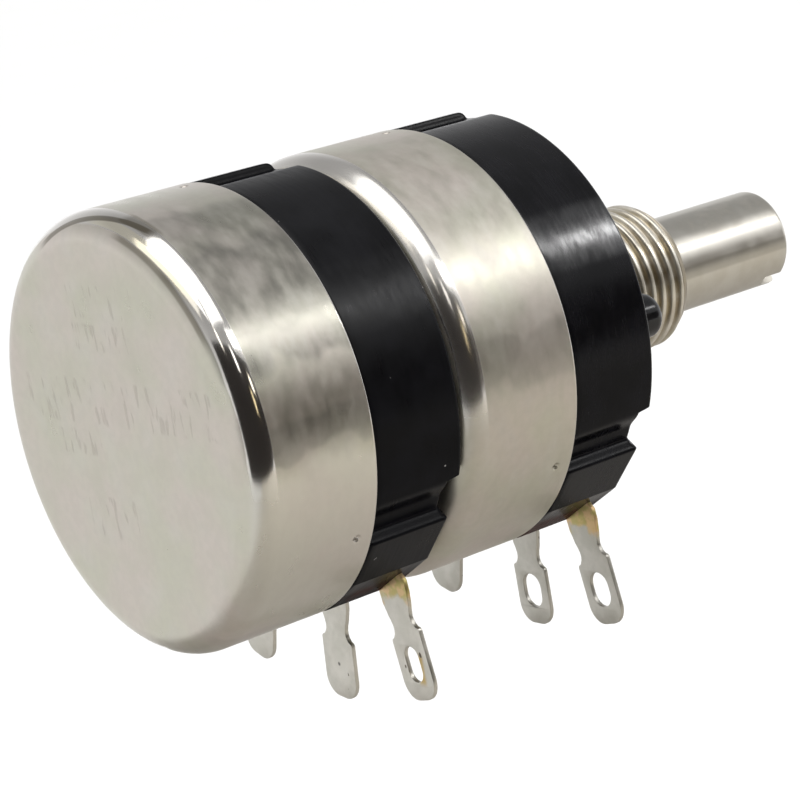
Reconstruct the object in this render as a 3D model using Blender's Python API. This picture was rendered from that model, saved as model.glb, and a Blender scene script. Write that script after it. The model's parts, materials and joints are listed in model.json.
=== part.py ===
"""Dual-gang rotary potentiometer for panel mounting, 24 mm class.

Frame: metres, +Z up. The shaft axis is Y and the shaft points to -Y. The origin is on the
shaft axis at the panel seating face. The solder lugs point to -Z. At rest both wipers
stand at mid-travel, at the top of the tracks.
"""
from math import asin, atan2, cos, degrees, radians, sin

import bmesh
import bpy
from mathutils import Vector
from mathutils.geometry import tessellate_polygon

MM = 0.001

# ---------------------------------------------------------------- driving dimensions, mm
CAN_RADIUS = 12.4
CAN_LENGTH = 8.0
CAN_WALL = 0.4
CAN_CORNER = 1.65
GANG_PITCH = 13.83
BASE_LENGTH = 5.8
RING_RADIUS = 12.17
SPIGOT_RADIUS = 11.8
SPIGOT_LENGTH = 1.5
POCKET_RADIUS = 10.5
SEAT_RADIUS = 10.65
FLOOR_THICKNESS = 1.65
SHAFT_RADIUS = 3.0
SHAFT_REACH = 20.0
SHAFT_COLLAR = (2.36, 3.06)
SHAFT_COLLAR_RADIUS = 4.4
SCREWDRIVER_SLOT = (1.1, 1.55)
SCREWDRIVER_SLOT_ANGLE = 235.5
CLIP_Y = (-10.28, -9.78)
CLIP_GROOVE_RADIUS = 2.3
CLIP_RADIUS = 3.6
BUSHING_RADIUS = 4.47
BUSHING_REACH = 10.35
BUSHING_NOSE_RADIUS = 4.0
BUSHING_RECESS_RADIUS = 3.68
BUSHING_FLANGE_RADIUS = 5.6
BUSHING_FLANGE_END = 2.05
THREAD_PITCH = 0.75
THREAD_DEPTH = 0.42
THREAD_TURNS = 12
LUG_THICKNESS = 0.28
HALF_TRAVEL = 150.0
GAP = 0.03
RUNNING_GAP = 0.05

# Solder block and locating features of the moulded bases, degrees from +X towards +Z.
LUG_SIDE = 270.0
RIDGE_OFF = 54.3
FACET_OFF = 38.5
FOOT_OFF = 20.5
HOLLOW_OFF = 58.5
HOLLOW_END_OFF = 66.5
BLOCK_RADIUS = 12.42
HOLLOW_RADIUS = 11.97
NOTCH_DEPTH = 0.78
BLOCK_STEP = 0.54
KEY_START = 78.8
KEY_END = 86.0
KEY_FLAT_RADIUS = 11.9
KEY_FLAT_END = 97.0

PEG_OFFSET = 9.8
PEG_RADIUS = 1.3
PEG_HEIGHT = 2.3
COUNTERBORE = (4.65, 0.4)

# Seat and notch cutters of the bases.
SEAT_END = 3.3
RIM_RADIUS = 10.9
STEP_RADIUS = 11.1
CUTTER_RADIUS = 14.0
RIVET_RECESS = (1.25, 0.5)

# Terminals: where each lug leaves the base and how far it fans out, in degrees. The right
# lugs are bent outwards. The rear centre lug stands a few degrees aside of its rivet and is
# a little longer. Old solder fills some of the eyelets and narrows one.
SIDE_LUGS = {
    ("front", "left"): ((-5.55, -10.96), -10.5),
    ("front", "right"): ((7.03, -10.99), 16.0),
    ("rear", "left"): ((-5.55, -10.96), -10.5),
    ("rear", "right"): ((7.45, -10.95), 18.0),
}
CLOSED_EYELETS = (("front", "right"), ("rear", "centre"), ("rear", "right"))
SIDE_LUG_LENGTH = 6.9
MIDDLE_LUG_Z = -11.9
MIDDLE_LUG_LENGTH = 6.75
REAR_MIDDLE_LENGTH = 7.03
REAR_MIDDLE_TURN = 6.8
LUG_BLADE = 1.43
LUG_NECK = 0.92
LUG_ROOT = 1.32
LUG_TIP_CORNER = 1.08
SHOULDER_UP = 3.65
OUTER_SHOULDER_RISE = 0.5
EYELET_UP = 2.1
EYELET_SIZE = (0.8, 0.24)
NARROWED_EYELET = ("rear", "left")
NARROWED_SIZE = (0.64, 0.4)
TERMINAL_EYE = 1.15
SLOT_GAP = 0.06
RIVET_RADIUS = 0.55
RIVET_HEAD = 0.85
SIDE_RIVET = (2.83, -8.23)
MIDDLE_RIVET = (0.0, -8.2)

# Inside of each gang, distances behind the gang's own front face.
WAFER_Y = (FLOOR_THICKNESS + LUG_THICKNESS + 2 * GAP, 2.9)
WAFER_INNER = 6.0
WAFER_OUTER = 10.3
FILM_Y = (2.92, 3.04)
TRACK_RADII = (8.0, 9.4)
RING_RADII = (6.4, 7.4)
ROTOR_DISC_Y = (4.3, 5.5)
ROTOR_DISC_RADIUS = 9.45
ROTOR_HUB_Y = (3.2, 7.0)
HUB_RADIUS = 4.2
HUB_BORE_GAP = 0.04
SPRING_SHEET = 0.2
SPRING_RADIUS = 9.3
FINGERS = ((6.9, 0.7), (8.6, 0.6))
STOP_TAB_HALF = 8.0
STOP_TAB_RADIUS = 10.4
STOP_RIB_RADIUS = 9.7
FRONT_DRIVE = (2.4, 1.85)
REAR_DRIVE = (2.0, 1.5)

# Rivets that hold the rear gang to the back of the front cover.
GANG_RIVET_CIRCLE = 8.6
GANG_RIVETS = (("left", 168.0), ("top", 93.0), ("right", 18.0))
GANG_RIVET_RADIUS = 0.7
GANG_RIVET_HEAD = 1.2

GANGS = ("front", "rear")
PLACES = ("left", "centre", "right")
ROUND = 48
SMALL_ROUND = 20


# ---------------------------------------------------------------- scene and materials
def clear_scene():
    for existing in list(bpy.data.objects):
        bpy.data.objects.remove(existing, do_unlink=True)


def material(name, colour, metallic, roughness):
    made = bpy.data.materials.new(name)
    made.use_nodes = True
    shader = made.node_tree.nodes["Principled BSDF"]
    shader.inputs["Base Color"].default_value = (*colour, 1.0)
    shader.inputs["Metallic"].default_value = metallic
    shader.inputs["Roughness"].default_value = roughness
    return made


# ---------------------------------------------------------------- outlines in the XZ plane
def polar(radius, angle):
    return (radius * cos(radians(angle)), radius * sin(radians(angle)))


def arc(radius, start, end, steps, centre=(0.0, 0.0)):
    points = []
    for index in range(steps + 1):
        x, z = polar(radius, start + (end - start) * index / steps)
        points.append((centre[0] + x, centre[1] + z))
    return points


def circle(radius, count=ROUND, centre=(0.0, 0.0), phase=0.0):
    return arc(radius, phase, phase + 360.0 - 360.0 / count, count - 1, centre)


def double_flat(radius, half_flat, count=SMALL_ROUND):
    """A round bar with two flats across X."""
    edge = degrees(asin(half_flat / radius))
    return arc(radius, -edge, edge, count // 2) + arc(radius, 180 - edge, 180 + edge, count // 2)


def turned(points, angle, shift=(0.0, 0.0)):
    c = cos(radians(angle))
    s = sin(radians(angle))
    return [(x * c - z * s + shift[0], x * s + z * c + shift[1]) for x, z in points]


# ---------------------------------------------------------------- solid builders
def new_object(name, bm, surface, smooth=35.0):
    bmesh.ops.recalc_face_normals(bm, faces=bm.faces)
    mesh = bpy.data.meshes.new(name)
    bm.to_mesh(mesh)
    bm.free()
    mesh.shade_smooth()
    mesh.set_sharp_from_angle(angle=radians(smooth))
    made = bpy.data.objects.new(name, mesh)
    made.scale = (MM, MM, MM)
    bpy.context.scene.collection.objects.link(made)
    if surface is not None:
        mesh.materials.append(surface)
    return made


def plate(name, outline, y_start, y_end, surface=None, holes=()):
    """A flat plate across the shaft axis, with any holes through it."""
    loops = [outline, *holes]
    flat = [[Vector((x, z, 0.0)) for x, z in loop] for loop in loops]
    triangles = tessellate_polygon(flat)
    bm = bmesh.new()
    layers = []
    for y in (y_start, y_end):
        layers.append([bm.verts.new((x, y, z)) for loop in loops for x, z in loop])
    for layer in layers:
        for a, b, c in triangles:
            bm.faces.new((layer[a], layer[b], layer[c]))
    first = 0
    for loop in loops:
        count = len(loop)
        for index in range(count):
            a = first + index
            b = first + (index + 1) % count
            bm.faces.new((layers[0][a], layers[0][b], layers[1][b], layers[1][a]))
        first += count
    return new_object(name, bm, surface)


def lathe(name, profile, surface=None, count=ROUND, closed=False):
    """Turn a profile of (radius, y) points about the shaft axis.

    An open profile starts and ends on the axis; a closed one makes a ring.
    """
    bm = bmesh.new()
    rings = []
    for radius, y in profile:
        if radius == 0.0:
            rings.append([bm.verts.new((0.0, y, 0.0))] * count)
            continue
        ring = []
        for step in range(count):
            x, z = polar(radius, 360.0 * step / count)
            ring.append(bm.verts.new((x, y, z)))
        rings.append(ring)
    pairs = list(zip(rings, rings[1:]))
    if closed:
        pairs.append((rings[-1], rings[0]))
    for low, high in pairs:
        for step in range(count):
            after = (step + 1) % count
            corners = [low[step], low[after], high[after], high[step]]
            face = list(dict.fromkeys(corners))
            bm.faces.new(face)
    return new_object(name, bm, surface)


def bar(name, centre, size, surface=None):
    """A rectangular block, mm, centred on a point."""
    bm = bmesh.new()
    bmesh.ops.create_cube(bm, size=1.0)
    bmesh.ops.scale(bm, vec=Vector(size), verts=bm.verts)
    bmesh.ops.translate(bm, vec=Vector(centre), verts=bm.verts)
    return new_object(name, bm, surface)


def combine(target, tool, operation="DIFFERENCE"):
    """Cut or join a tool solid, keep the tool hidden as a guide, and return the target."""
    step = target.modifiers.new(operation.title() + " " + tool.name, "BOOLEAN")
    step.operation = operation
    step.solver = "EXACT"
    step.object = tool
    tool.hide_render = True
    tool.display_type = "WIRE"
    return target


# ---------------------------------------------------------------- moulded bases
def base_outline():
    """Ring with the solder block below, a hollow beside each ridge, and a key rib on top."""
    left_hollow_end = LUG_SIDE - HOLLOW_END_OFF
    right_hollow_end = LUG_SIDE + HOLLOW_END_OFF - 360.0
    outline = arc(RING_RADIUS, KEY_FLAT_END, left_hollow_end, 16)
    outline.append(polar(HOLLOW_RADIUS, LUG_SIDE - HOLLOW_OFF - 2.0))
    outline.append(polar(HOLLOW_RADIUS, LUG_SIDE - HOLLOW_OFF))
    block_angles = (RIDGE_OFF, FACET_OFF, FOOT_OFF)
    outline += [polar(BLOCK_RADIUS, LUG_SIDE - off) for off in block_angles]
    outline += [polar(BLOCK_RADIUS, LUG_SIDE + off) for off in reversed(block_angles)]
    outline.append(polar(HOLLOW_RADIUS, LUG_SIDE + HOLLOW_OFF))
    outline.append(polar(HOLLOW_RADIUS, LUG_SIDE + HOLLOW_OFF + 2.0))
    outline += arc(RING_RADIUS, right_hollow_end, KEY_START, 14)
    outline += arc(CAN_RADIUS, KEY_START + 0.5, KEY_END - 0.5, 2)
    outline.append(polar(KEY_FLAT_RADIUS, KEY_END + 1.0))
    outline.append(polar(KEY_FLAT_RADIUS, KEY_END + 4.0))
    return outline


def sector(inner, outer, start, end, steps):
    return arc(inner, start, end, steps) + arc(outer, end, start, steps)


def stop_rib_half():
    """Half the angle of the moulded stop, so that the rotor turns half the travel each way."""
    return 180.0 - HALF_TRAVEL - STOP_TAB_HALF - 0.3


def pocket_outline():
    """Inside of the base, with the stop rib at the lug side."""
    rib = stop_rib_half()
    start = LUG_SIDE + rib
    return arc(POCKET_RADIUS, start, start + 360 - 2 * rib, 30) + arc(
        STOP_RIB_RADIUS, LUG_SIDE - rib, LUG_SIDE + rib, 4
    )


def moulded_base(name, y_face, surface, hole_radius):
    """Base of a gang: outer shape, spigot for the cover, pocket for the rotor, and lug slots."""
    body = plate(name, base_outline(), y_face, y_face + BASE_LENGTH, surface)

    spigot_start = y_face + BASE_LENGTH - 1.0
    spigot_end = y_face + BASE_LENGTH + SPIGOT_LENGTH
    spigot = plate(name + "_spigot", circle(SPIGOT_RADIUS, 36, phase=2.0), spigot_start, spigot_end)
    combine(body, spigot, "UNION")

    for side in (-1, 1):
        start = LUG_SIDE + side * (RIDGE_OFF + 0.5)
        end = LUG_SIDE + side * (HOLLOW_END_OFF + 0.3)
        notch = sector(RIM_RADIUS, CUTTER_RADIUS, min(start, end), max(start, end), 4)
        combine(body, plate(name + f"_notch_{side}", notch, y_face - 1.0, y_face + NOTCH_DEPTH))
    step_half = RIDGE_OFF + 1.0
    step = sector(STEP_RADIUS, CUTTER_RADIUS, LUG_SIDE - step_half, LUG_SIDE + step_half, 16)
    combine(body, plate(name + "_block_step", step, y_face - 1.0, y_face + BLOCK_STEP))

    floor = y_face + FLOOR_THICKNESS
    combine(body, plate(name + "_seat", circle(SEAT_RADIUS, 36, phase=3.0), floor, y_face + SEAT_END))
    pocket_start = y_face + SEAT_END - 0.2
    combine(body, plate(name + "_pocket", pocket_outline(), pocket_start, spigot_end + 1.0))
    hole = circle(hole_radius, 32, phase=2.0)
    combine(body, plate(name + "_hole", hole, y_face - 1.0, y_face + SEAT_END - 0.3))

    gang = "rear" if y_face else "front"
    recess_radius, recess_depth = RIVET_RECESS
    for place in PLACES:
        outline = terminal_outline(gang, place, SLOT_GAP)
        slot_end = floor + LUG_THICKNESS + 2 * GAP
        combine(body, plate(f"{name}_slot_{place}", outline, floor - 0.01, slot_end))
        recess = circle(recess_radius, 16, rivet_place(place), phase=4.0)
        combine(body, plate(f"{name}_recess_{place}", recess, floor - recess_depth, floor + 0.2))
    return body


def add_counterbore(body):
    """Relief round the neck, so that the panel seats on the base and not on the thread."""
    radius, depth = COUNTERBORE
    combine(body, plate(f"{body.name}_counterbore", circle(radius, 32, phase=5.0), -1.0, depth))


def add_peg(body):
    """Anti-rotation peg beside the bushing, with a rounded end."""
    rounding = 0.5
    profile = [(0.0, 0.5)]
    profile += [(PEG_RADIUS, 0.5), (PEG_RADIUS, -PEG_HEIGHT + rounding)]
    for step in range(1, 5):
        turn = step * 90 / 4
        radius = PEG_RADIUS - rounding + rounding * cos(radians(turn))
        profile.append((radius, -PEG_HEIGHT + rounding - rounding * sin(radians(turn))))
    profile.append((0.0, -PEG_HEIGHT))
    peg = lathe("anti_rotation_peg_shape", profile, count=SMALL_ROUND)
    peg.location = (-PEG_OFFSET * MM, 0.0, 0.0)
    combine(body, peg, "UNION")


# ---------------------------------------------------------------- covers
def cover(name, y_open, surface, hole_radius=0.0):
    """Drawn steel cup, open to the front, with a rolled rear edge."""
    back = y_open + CAN_LENGTH
    inner = CAN_RADIUS - CAN_WALL
    inner_corner = CAN_CORNER - CAN_WALL
    outside = [(CAN_RADIUS, y_open)]
    inside = [(inner, y_open)]
    steps = 4
    for step in range(steps + 1):
        turn = radians(90 * step / steps)
        centre_r = CAN_RADIUS - CAN_CORNER
        centre_y = back - CAN_CORNER
        outside.append((centre_r + CAN_CORNER * cos(turn), centre_y + CAN_CORNER * sin(turn)))
        inside.append((centre_r + inner_corner * cos(turn), centre_y + inner_corner * sin(turn)))
    outside.append((hole_radius, back))
    inside.append((hole_radius, back - CAN_WALL))
    if hole_radius:
        return lathe(name, outside + list(reversed(inside)), surface, closed=True)
    return lathe(name, list(reversed(outside)) + inside, surface)


# ---------------------------------------------------------------- bushing, shaft and clip
def threaded_bushing(surface):
    """Threaded neck with a recess for the clip, and a flange behind the base's floor, moulded in."""
    root = BUSHING_RADIUS - THREAD_DEPTH
    bore = SHAFT_RADIUS + RUNNING_GAP
    chamfer = 0.12
    flange_start = FLOOR_THICKNESS + GAP
    recess_floor = CLIP_Y[1] + GAP
    outer = [(BUSHING_RECESS_RADIUS, -BUSHING_REACH), (BUSHING_NOSE_RADIUS, -BUSHING_REACH)]
    for turn in range(1, THREAD_TURNS + 1):
        crest = -BUSHING_REACH + turn * THREAD_PITCH
        outer += [(root, crest - THREAD_PITCH / 2), (BUSHING_RADIUS, crest)]
    outer += [
        (root, crest + THREAD_PITCH / 2),
        (root, flange_start),
        (BUSHING_FLANGE_RADIUS, flange_start),
        (BUSHING_FLANGE_RADIUS, BUSHING_FLANGE_END),
        (BUSHING_FLANGE_RADIUS - 2 * chamfer, BUSHING_FLANGE_END + 2 * chamfer),
        (bore, BUSHING_FLANGE_END + 2 * chamfer),
        (bore, recess_floor),
        (BUSHING_RECESS_RADIUS, recess_floor),
    ]
    return lathe("threaded_bushing", outer, surface, count=28, closed=True)


def shaft(surface):
    """Slotted shaft with a collar behind the bushing and a flatted drive for each rotor."""
    end_chamfer = 0.3
    front_drive = FRONT_DRIVE[0]
    rear_drive = REAR_DRIVE[0]
    front_end = ROTOR_HUB_Y[1] + 1.0
    rear_end = GANG_PITCH + ROTOR_HUB_Y[1] + 0.9
    profile = [
        (0.0, -SHAFT_REACH),
        (SHAFT_RADIUS - end_chamfer, -SHAFT_REACH),
        (SHAFT_RADIUS, -SHAFT_REACH + end_chamfer),
        (SHAFT_RADIUS, CLIP_Y[0] - GAP),
        (CLIP_GROOVE_RADIUS, CLIP_Y[0] - GAP),
        (CLIP_GROOVE_RADIUS, CLIP_Y[1] + GAP),
        (SHAFT_RADIUS, CLIP_Y[1] + GAP),
        (SHAFT_RADIUS, SHAFT_COLLAR[0]),
        (SHAFT_COLLAR_RADIUS, SHAFT_COLLAR[0]),
        (SHAFT_COLLAR_RADIUS, SHAFT_COLLAR[1]),
        (front_drive, SHAFT_COLLAR[1]),
        (front_drive, front_end),
        (rear_drive, front_end + 0.4),
        (rear_drive, rear_end - end_chamfer),
        (rear_drive - end_chamfer, rear_end),
        (0.0, rear_end),
    ]
    body = lathe("shaft", profile, surface, count=32)
    drives = (
        ("front", FRONT_DRIVE[1], SHAFT_COLLAR[1] + 0.02, front_end + 0.6),
        ("rear", REAR_DRIVE[1], GANG_PITCH + ROTOR_HUB_Y[0] - 0.6, rear_end + 1.0),
    )
    for name, half_flat, start, end in drives:
        for side in (-1, 1):
            centre = (0.0, (start + end) / 2, side * (half_flat + 2.0))
            combine(body, bar(f"{name}_drive_flat_{side}", centre, (8.0, end - start, 4.0)))
    width, depth = SCREWDRIVER_SLOT
    slot = bar("screwdriver_slot", (0.0, 0.0, 0.0), (8.0, 2 * depth, width))
    slot.location = (0.0, -SHAFT_REACH * MM, 0.0)
    slot.rotation_euler = (0.0, -radians(SCREWDRIVER_SLOT_ANGLE), 0.0)
    return combine(body, slot)


def retaining_clip(surface):
    """Open ring in the shaft groove, inside the recess of the bushing."""
    inner = CLIP_GROOVE_RADIUS + GAP
    half_mouth = 28.0
    neck_share = 0.82
    outline = arc(CLIP_RADIUS, 90 + half_mouth, 450 - half_mouth, 24)
    neck = degrees(asin(CLIP_RADIUS * sin(radians(half_mouth)) * neck_share / inner))
    outline += arc(inner, 450 - neck, 90 + neck, 20)
    return plate("shaft_retaining_clip", outline, *CLIP_Y, surface)


# ---------------------------------------------------------------- resistance elements
def gang_face(gang):
    return 0.0 if gang == "front" else GANG_PITCH


def wafer(gang, surface):
    """Laminate that carries the printed track, notched to pass the stop rib."""
    face = gang_face(gang)
    notch = 25.0
    outline = arc(WAFER_OUTER, LUG_SIDE + notch, LUG_SIDE + 360 - notch, 32)
    outline += arc(STOP_RIB_RADIUS - 0.1, LUG_SIDE - notch, LUG_SIDE + notch, 6)
    holes = [circle(WAFER_INNER, 28)] + [rivet_hole(place) for place in PLACES]
    return plate(f"{gang}_element_wafer", outline, face + WAFER_Y[0], face + WAFER_Y[1], surface, holes)


def track(gang, surface):
    """Carbon horseshoe, riveted to an end terminal at each end."""
    face = gang_face(gang)
    end_off = 12.0
    outline = arc(TRACK_RADII[1], LUG_SIDE + end_off, LUG_SIDE + 360 - end_off, 30)
    outline += arc(TRACK_RADII[0], LUG_SIDE + 360 - end_off, LUG_SIDE + end_off, 30)
    holes = [rivet_hole("left"), rivet_hole("right")]
    return plate(f"{gang}_resistive_track", outline, face + FILM_Y[0], face + FILM_Y[1], surface, holes)


def collector(gang, surface):
    """Silvered ring that the inner wiper finger rides on."""
    face = gang_face(gang)
    pad = 1.15
    tongue = degrees(asin(pad / RING_RADII[1]))
    outline = arc(RING_RADII[1], LUG_SIDE + tongue, LUG_SIDE + 360 - tongue, 28)
    outline += arc(pad, 180, 360, 6, MIDDLE_RIVET)
    holes = [circle(RING_RADII[0], 24), rivet_hole("centre")]
    return plate(f"{gang}_collector_ring", outline, face + FILM_Y[0], face + FILM_Y[1], surface, holes)


# ---------------------------------------------------------------- terminals and rivets
def rivet_place(place):
    if place == "centre":
        return MIDDLE_RIVET
    side = -1 if place == "left" else 1
    return (side * SIDE_RIVET[0], SIDE_RIVET[1])


def rivet_hole(place):
    return circle(RIVET_RADIUS + 0.05, 10, rivet_place(place))


def lug_frame(gang, place):
    """Root point and turn that carry the straight lug, drawn downwards, to its place."""
    if place != "centre":
        return SIDE_LUGS[gang, place]
    if gang == "front":
        return (0.0, MIDDLE_LUG_Z), 0.0
    reach = MIDDLE_RIVET[1] - MIDDLE_LUG_Z
    turn = radians(REAR_MIDDLE_TURN)
    return (reach * sin(turn), MIDDLE_RIVET[1] - reach * cos(turn)), REAR_MIDDLE_TURN


def lug_length(gang, place):
    if place != "centre":
        return SIDE_LUG_LENGTH
    return MIDDLE_LUG_LENGTH if gang == "front" else REAR_MIDDLE_LENGTH


def lug_half_outline(length, grow, shoulder):
    """One side of a lug from its root down to the tip: flare, neck, shoulder and round tip."""
    blade = LUG_BLADE + grow
    neck = LUG_NECK + grow
    tip = -(length + grow)
    half = [
        (LUG_ROOT + grow, 0.0),
        (LUG_ROOT + grow - 0.06, shoulder + 1.9),
        (neck + 0.1, shoulder + 1.1),
        (neck, shoulder + 0.7),
        (neck + 0.05, shoulder + 0.35),
        (blade - 0.25, shoulder + 0.05),
        (blade, shoulder - 0.15),
        (blade, tip + 1.6),
    ]
    for step in range(6):
        turn = radians(90 * step / 5)
        x = blade - LUG_TIP_CORNER + LUG_TIP_CORNER * cos(turn)
        half.append((x, tip + 1.2 - 1.2 * sin(turn)))
    return half


def terminal_outline(gang, place, grow=0.0):
    """Rivet eye inside the base, joined to the lug outside it."""
    (root_x, root_z), turn = lug_frame(gang, place)
    length = lug_length(gang, place)
    shoulder = SHOULDER_UP - length
    rise = {"left": (0.0, OUTER_SHOULDER_RISE), "centre": (0.0, 0.0), "right": (OUTER_SHOULDER_RISE, 0.0)}
    right_rise, left_rise = rise[place]
    right = lug_half_outline(length, grow, shoulder + right_rise)
    left = lug_half_outline(length, grow, shoulder + left_rise)
    mirrored = [(-x, z) for x, z in reversed(left)]
    lug = turned(right + mirrored, turn, (root_x, root_z))
    eye_x, eye_z = rivet_place(place)
    heading = degrees(atan2(root_z - eye_z, root_x - eye_x))
    inner = arc(TERMINAL_EYE + grow, heading - 90 - 2, heading - 270 + 2, 12, (eye_x, eye_z))
    return lug + inner


def eyelet(gang, place):
    """Oblong soldering hole."""
    root, turn = lug_frame(gang, place)
    middle = EYELET_UP - lug_length(gang, place)
    half_width, straight = NARROWED_SIZE if (gang, place) == NARROWED_EYELET else EYELET_SIZE
    points = arc(half_width, 0, 180, 8, (0.0, middle + straight))
    points += arc(half_width, 180, 360, 8, (0.0, middle - straight))
    return turned(points, turn, root)


def terminal(gang, place, surface):
    face = gang_face(gang) + FLOOR_THICKNESS + GAP
    holes = [rivet_hole(place)]
    if (gang, place) not in CLOSED_EYELETS:
        holes.append(eyelet(gang, place))
    name = f"{gang}_terminal_{place}"
    return plate(name, terminal_outline(gang, place), face, face + LUG_THICKNESS, surface, holes)


def terminal_rivet(gang, place, surface):
    face = gang_face(gang)
    under = face + FLOOR_THICKNESS + GAP - 0.02
    over = face + FILM_Y[1] + 0.02
    profile = [
        (0.0, under - 0.32),
        (RIVET_HEAD - 0.2, under - 0.32),
        (RIVET_HEAD, under - 0.12),
        (RIVET_HEAD, under),
        (RIVET_RADIUS, under),
        (RIVET_RADIUS, over),
        (RIVET_HEAD, over),
        (RIVET_HEAD - 0.2, over + 0.2),
        (0.0, over + 0.2),
    ]
    body = lathe(f"{gang}_rivet_{place}", profile, surface, count=10)
    x, z = rivet_place(place)
    body.location = (x * MM, 0.0, z * MM)
    return body


def gang_rivet(place, angle, surface):
    """Rivet that holds the rear base to the back of the front cover."""
    outside = GANG_PITCH + FLOOR_THICKNESS + 0.02
    inside = BASE_LENGTH + CAN_LENGTH - CAN_WALL - 0.02
    profile = [
        (0.0, inside - 0.4),
        (GANG_RIVET_HEAD - 0.25, inside - 0.4),
        (GANG_RIVET_HEAD, inside - 0.15),
        (GANG_RIVET_HEAD, inside),
        (GANG_RIVET_RADIUS, inside),
        (GANG_RIVET_RADIUS, outside),
        (GANG_RIVET_HEAD, outside),
        (GANG_RIVET_HEAD, outside + 0.1),
        (GANG_RIVET_HEAD - 0.2, outside + 0.22),
        (0.0, outside + 0.22),
    ]
    body = lathe(f"gang_rivet_{place}", profile, surface, count=12)
    x, z = polar(GANG_RIVET_CIRCLE, angle)
    body.location = (x * MM, 0.0, z * MM)
    return body


def drill_for_gang_rivets(body, y_start, y_end):
    for place, angle in GANG_RIVETS:
        outline = circle(GANG_RIVET_RADIUS + 0.05, 12, polar(GANG_RIVET_CIRCLE, angle), phase=7.0)
        combine(body, plate(f"{body.name}_hole_{place}", outline, y_start, y_end))


# ---------------------------------------------------------------- moving pieces
def rotor(gang, surface):
    """Moulded wiper carrier: drive hub, disc and stop tab."""
    face = gang_face(gang)
    drive_radius, half_flat = FRONT_DRIVE if gang == "front" else REAR_DRIVE
    bore = double_flat(drive_radius + HUB_BORE_GAP, half_flat + HUB_BORE_GAP)
    disc = arc(ROTOR_DISC_RADIUS, 90 + STOP_TAB_HALF, 450 - STOP_TAB_HALF, 32)
    disc += arc(STOP_TAB_RADIUS, 90 - STOP_TAB_HALF, 90 + STOP_TAB_HALF, 4)
    body = plate(f"{gang}_rotor", disc, face + ROTOR_DISC_Y[0], face + ROTOR_DISC_Y[1], surface, [bore])
    hub_outline = circle(HUB_RADIUS, 24, phase=3.0)
    hub_y = [face + y for y in ROTOR_HUB_Y]
    return combine(body, plate(f"{gang}_hub_shape", hub_outline, *hub_y, holes=[bore]), "UNION")


def spring_finger(name, top, film, mean_radius, width):
    """Strip that bends from the spring plate down to the printed film and up again at its tip."""
    half_sheet = 0.07
    level = top - SPRING_SHEET / 2
    contact = film + GAP + half_sheet
    line = [(-2.5, level), (-1.9, level), (-0.4, contact + 0.05), (0.0, contact), (0.4, contact + 0.05)]
    line.append((0.8, contact + 0.4))
    outline = [(x, y - half_sheet) for x, y in line] + [(x, y + half_sheet) for x, y in reversed(line)]
    bm = bmesh.new()
    edge_radii = (mean_radius - width / 2, mean_radius + width / 2)
    layers = [[bm.verts.new((x, y, z)) for x, y in outline] for z in edge_radii]
    count = len(outline)
    for a, b in zip(range(count // 2 - 1), range(count - 1, 0, -1)):
        for layer in layers:
            bm.faces.new((layer[a], layer[a + 1], layer[b - 1], layer[b]))
    for a in range(count):
        b = (a + 1) % count
        bm.faces.new((layers[0][a], layers[0][b], layers[1][b], layers[1][a]))
    return new_object(name, bm, None)


def wiper_spring(gang, surface):
    """Spring plate under the rotor with one finger on the ring and one on the track."""
    face = gang_face(gang)
    top = face + ROTOR_DISC_Y[0] - GAP
    outline = arc(HUB_RADIUS + 1.8, 120, 420, 24) + arc(SPRING_RADIUS, 60, 120, 8)
    eye = circle(HUB_RADIUS + 0.1, 24)
    body = plate(f"{gang}_wiper_spring", outline, top - SPRING_SHEET, top, surface, [eye])
    window_x = (-2.2, 2.6)
    for number, (mean_radius, width) in enumerate(FINGERS, start=1):
        low = mean_radius - width / 2 - 0.15
        high = mean_radius + width / 2 + (0.15 if number == 1 else 1.0)
        window = [(window_x[0], low), (window_x[1], low), (window_x[1], high), (window_x[0], high)]
        combine(body, plate(f"{gang}_finger_window_{number}", window, top - 0.5, top + 0.3))
        name = f"{gang}_finger_{number}"
        finger = spring_finger(name, top, face + FILM_Y[1], mean_radius, width)
        combine(body, finger, "UNION")
    return body


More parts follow.
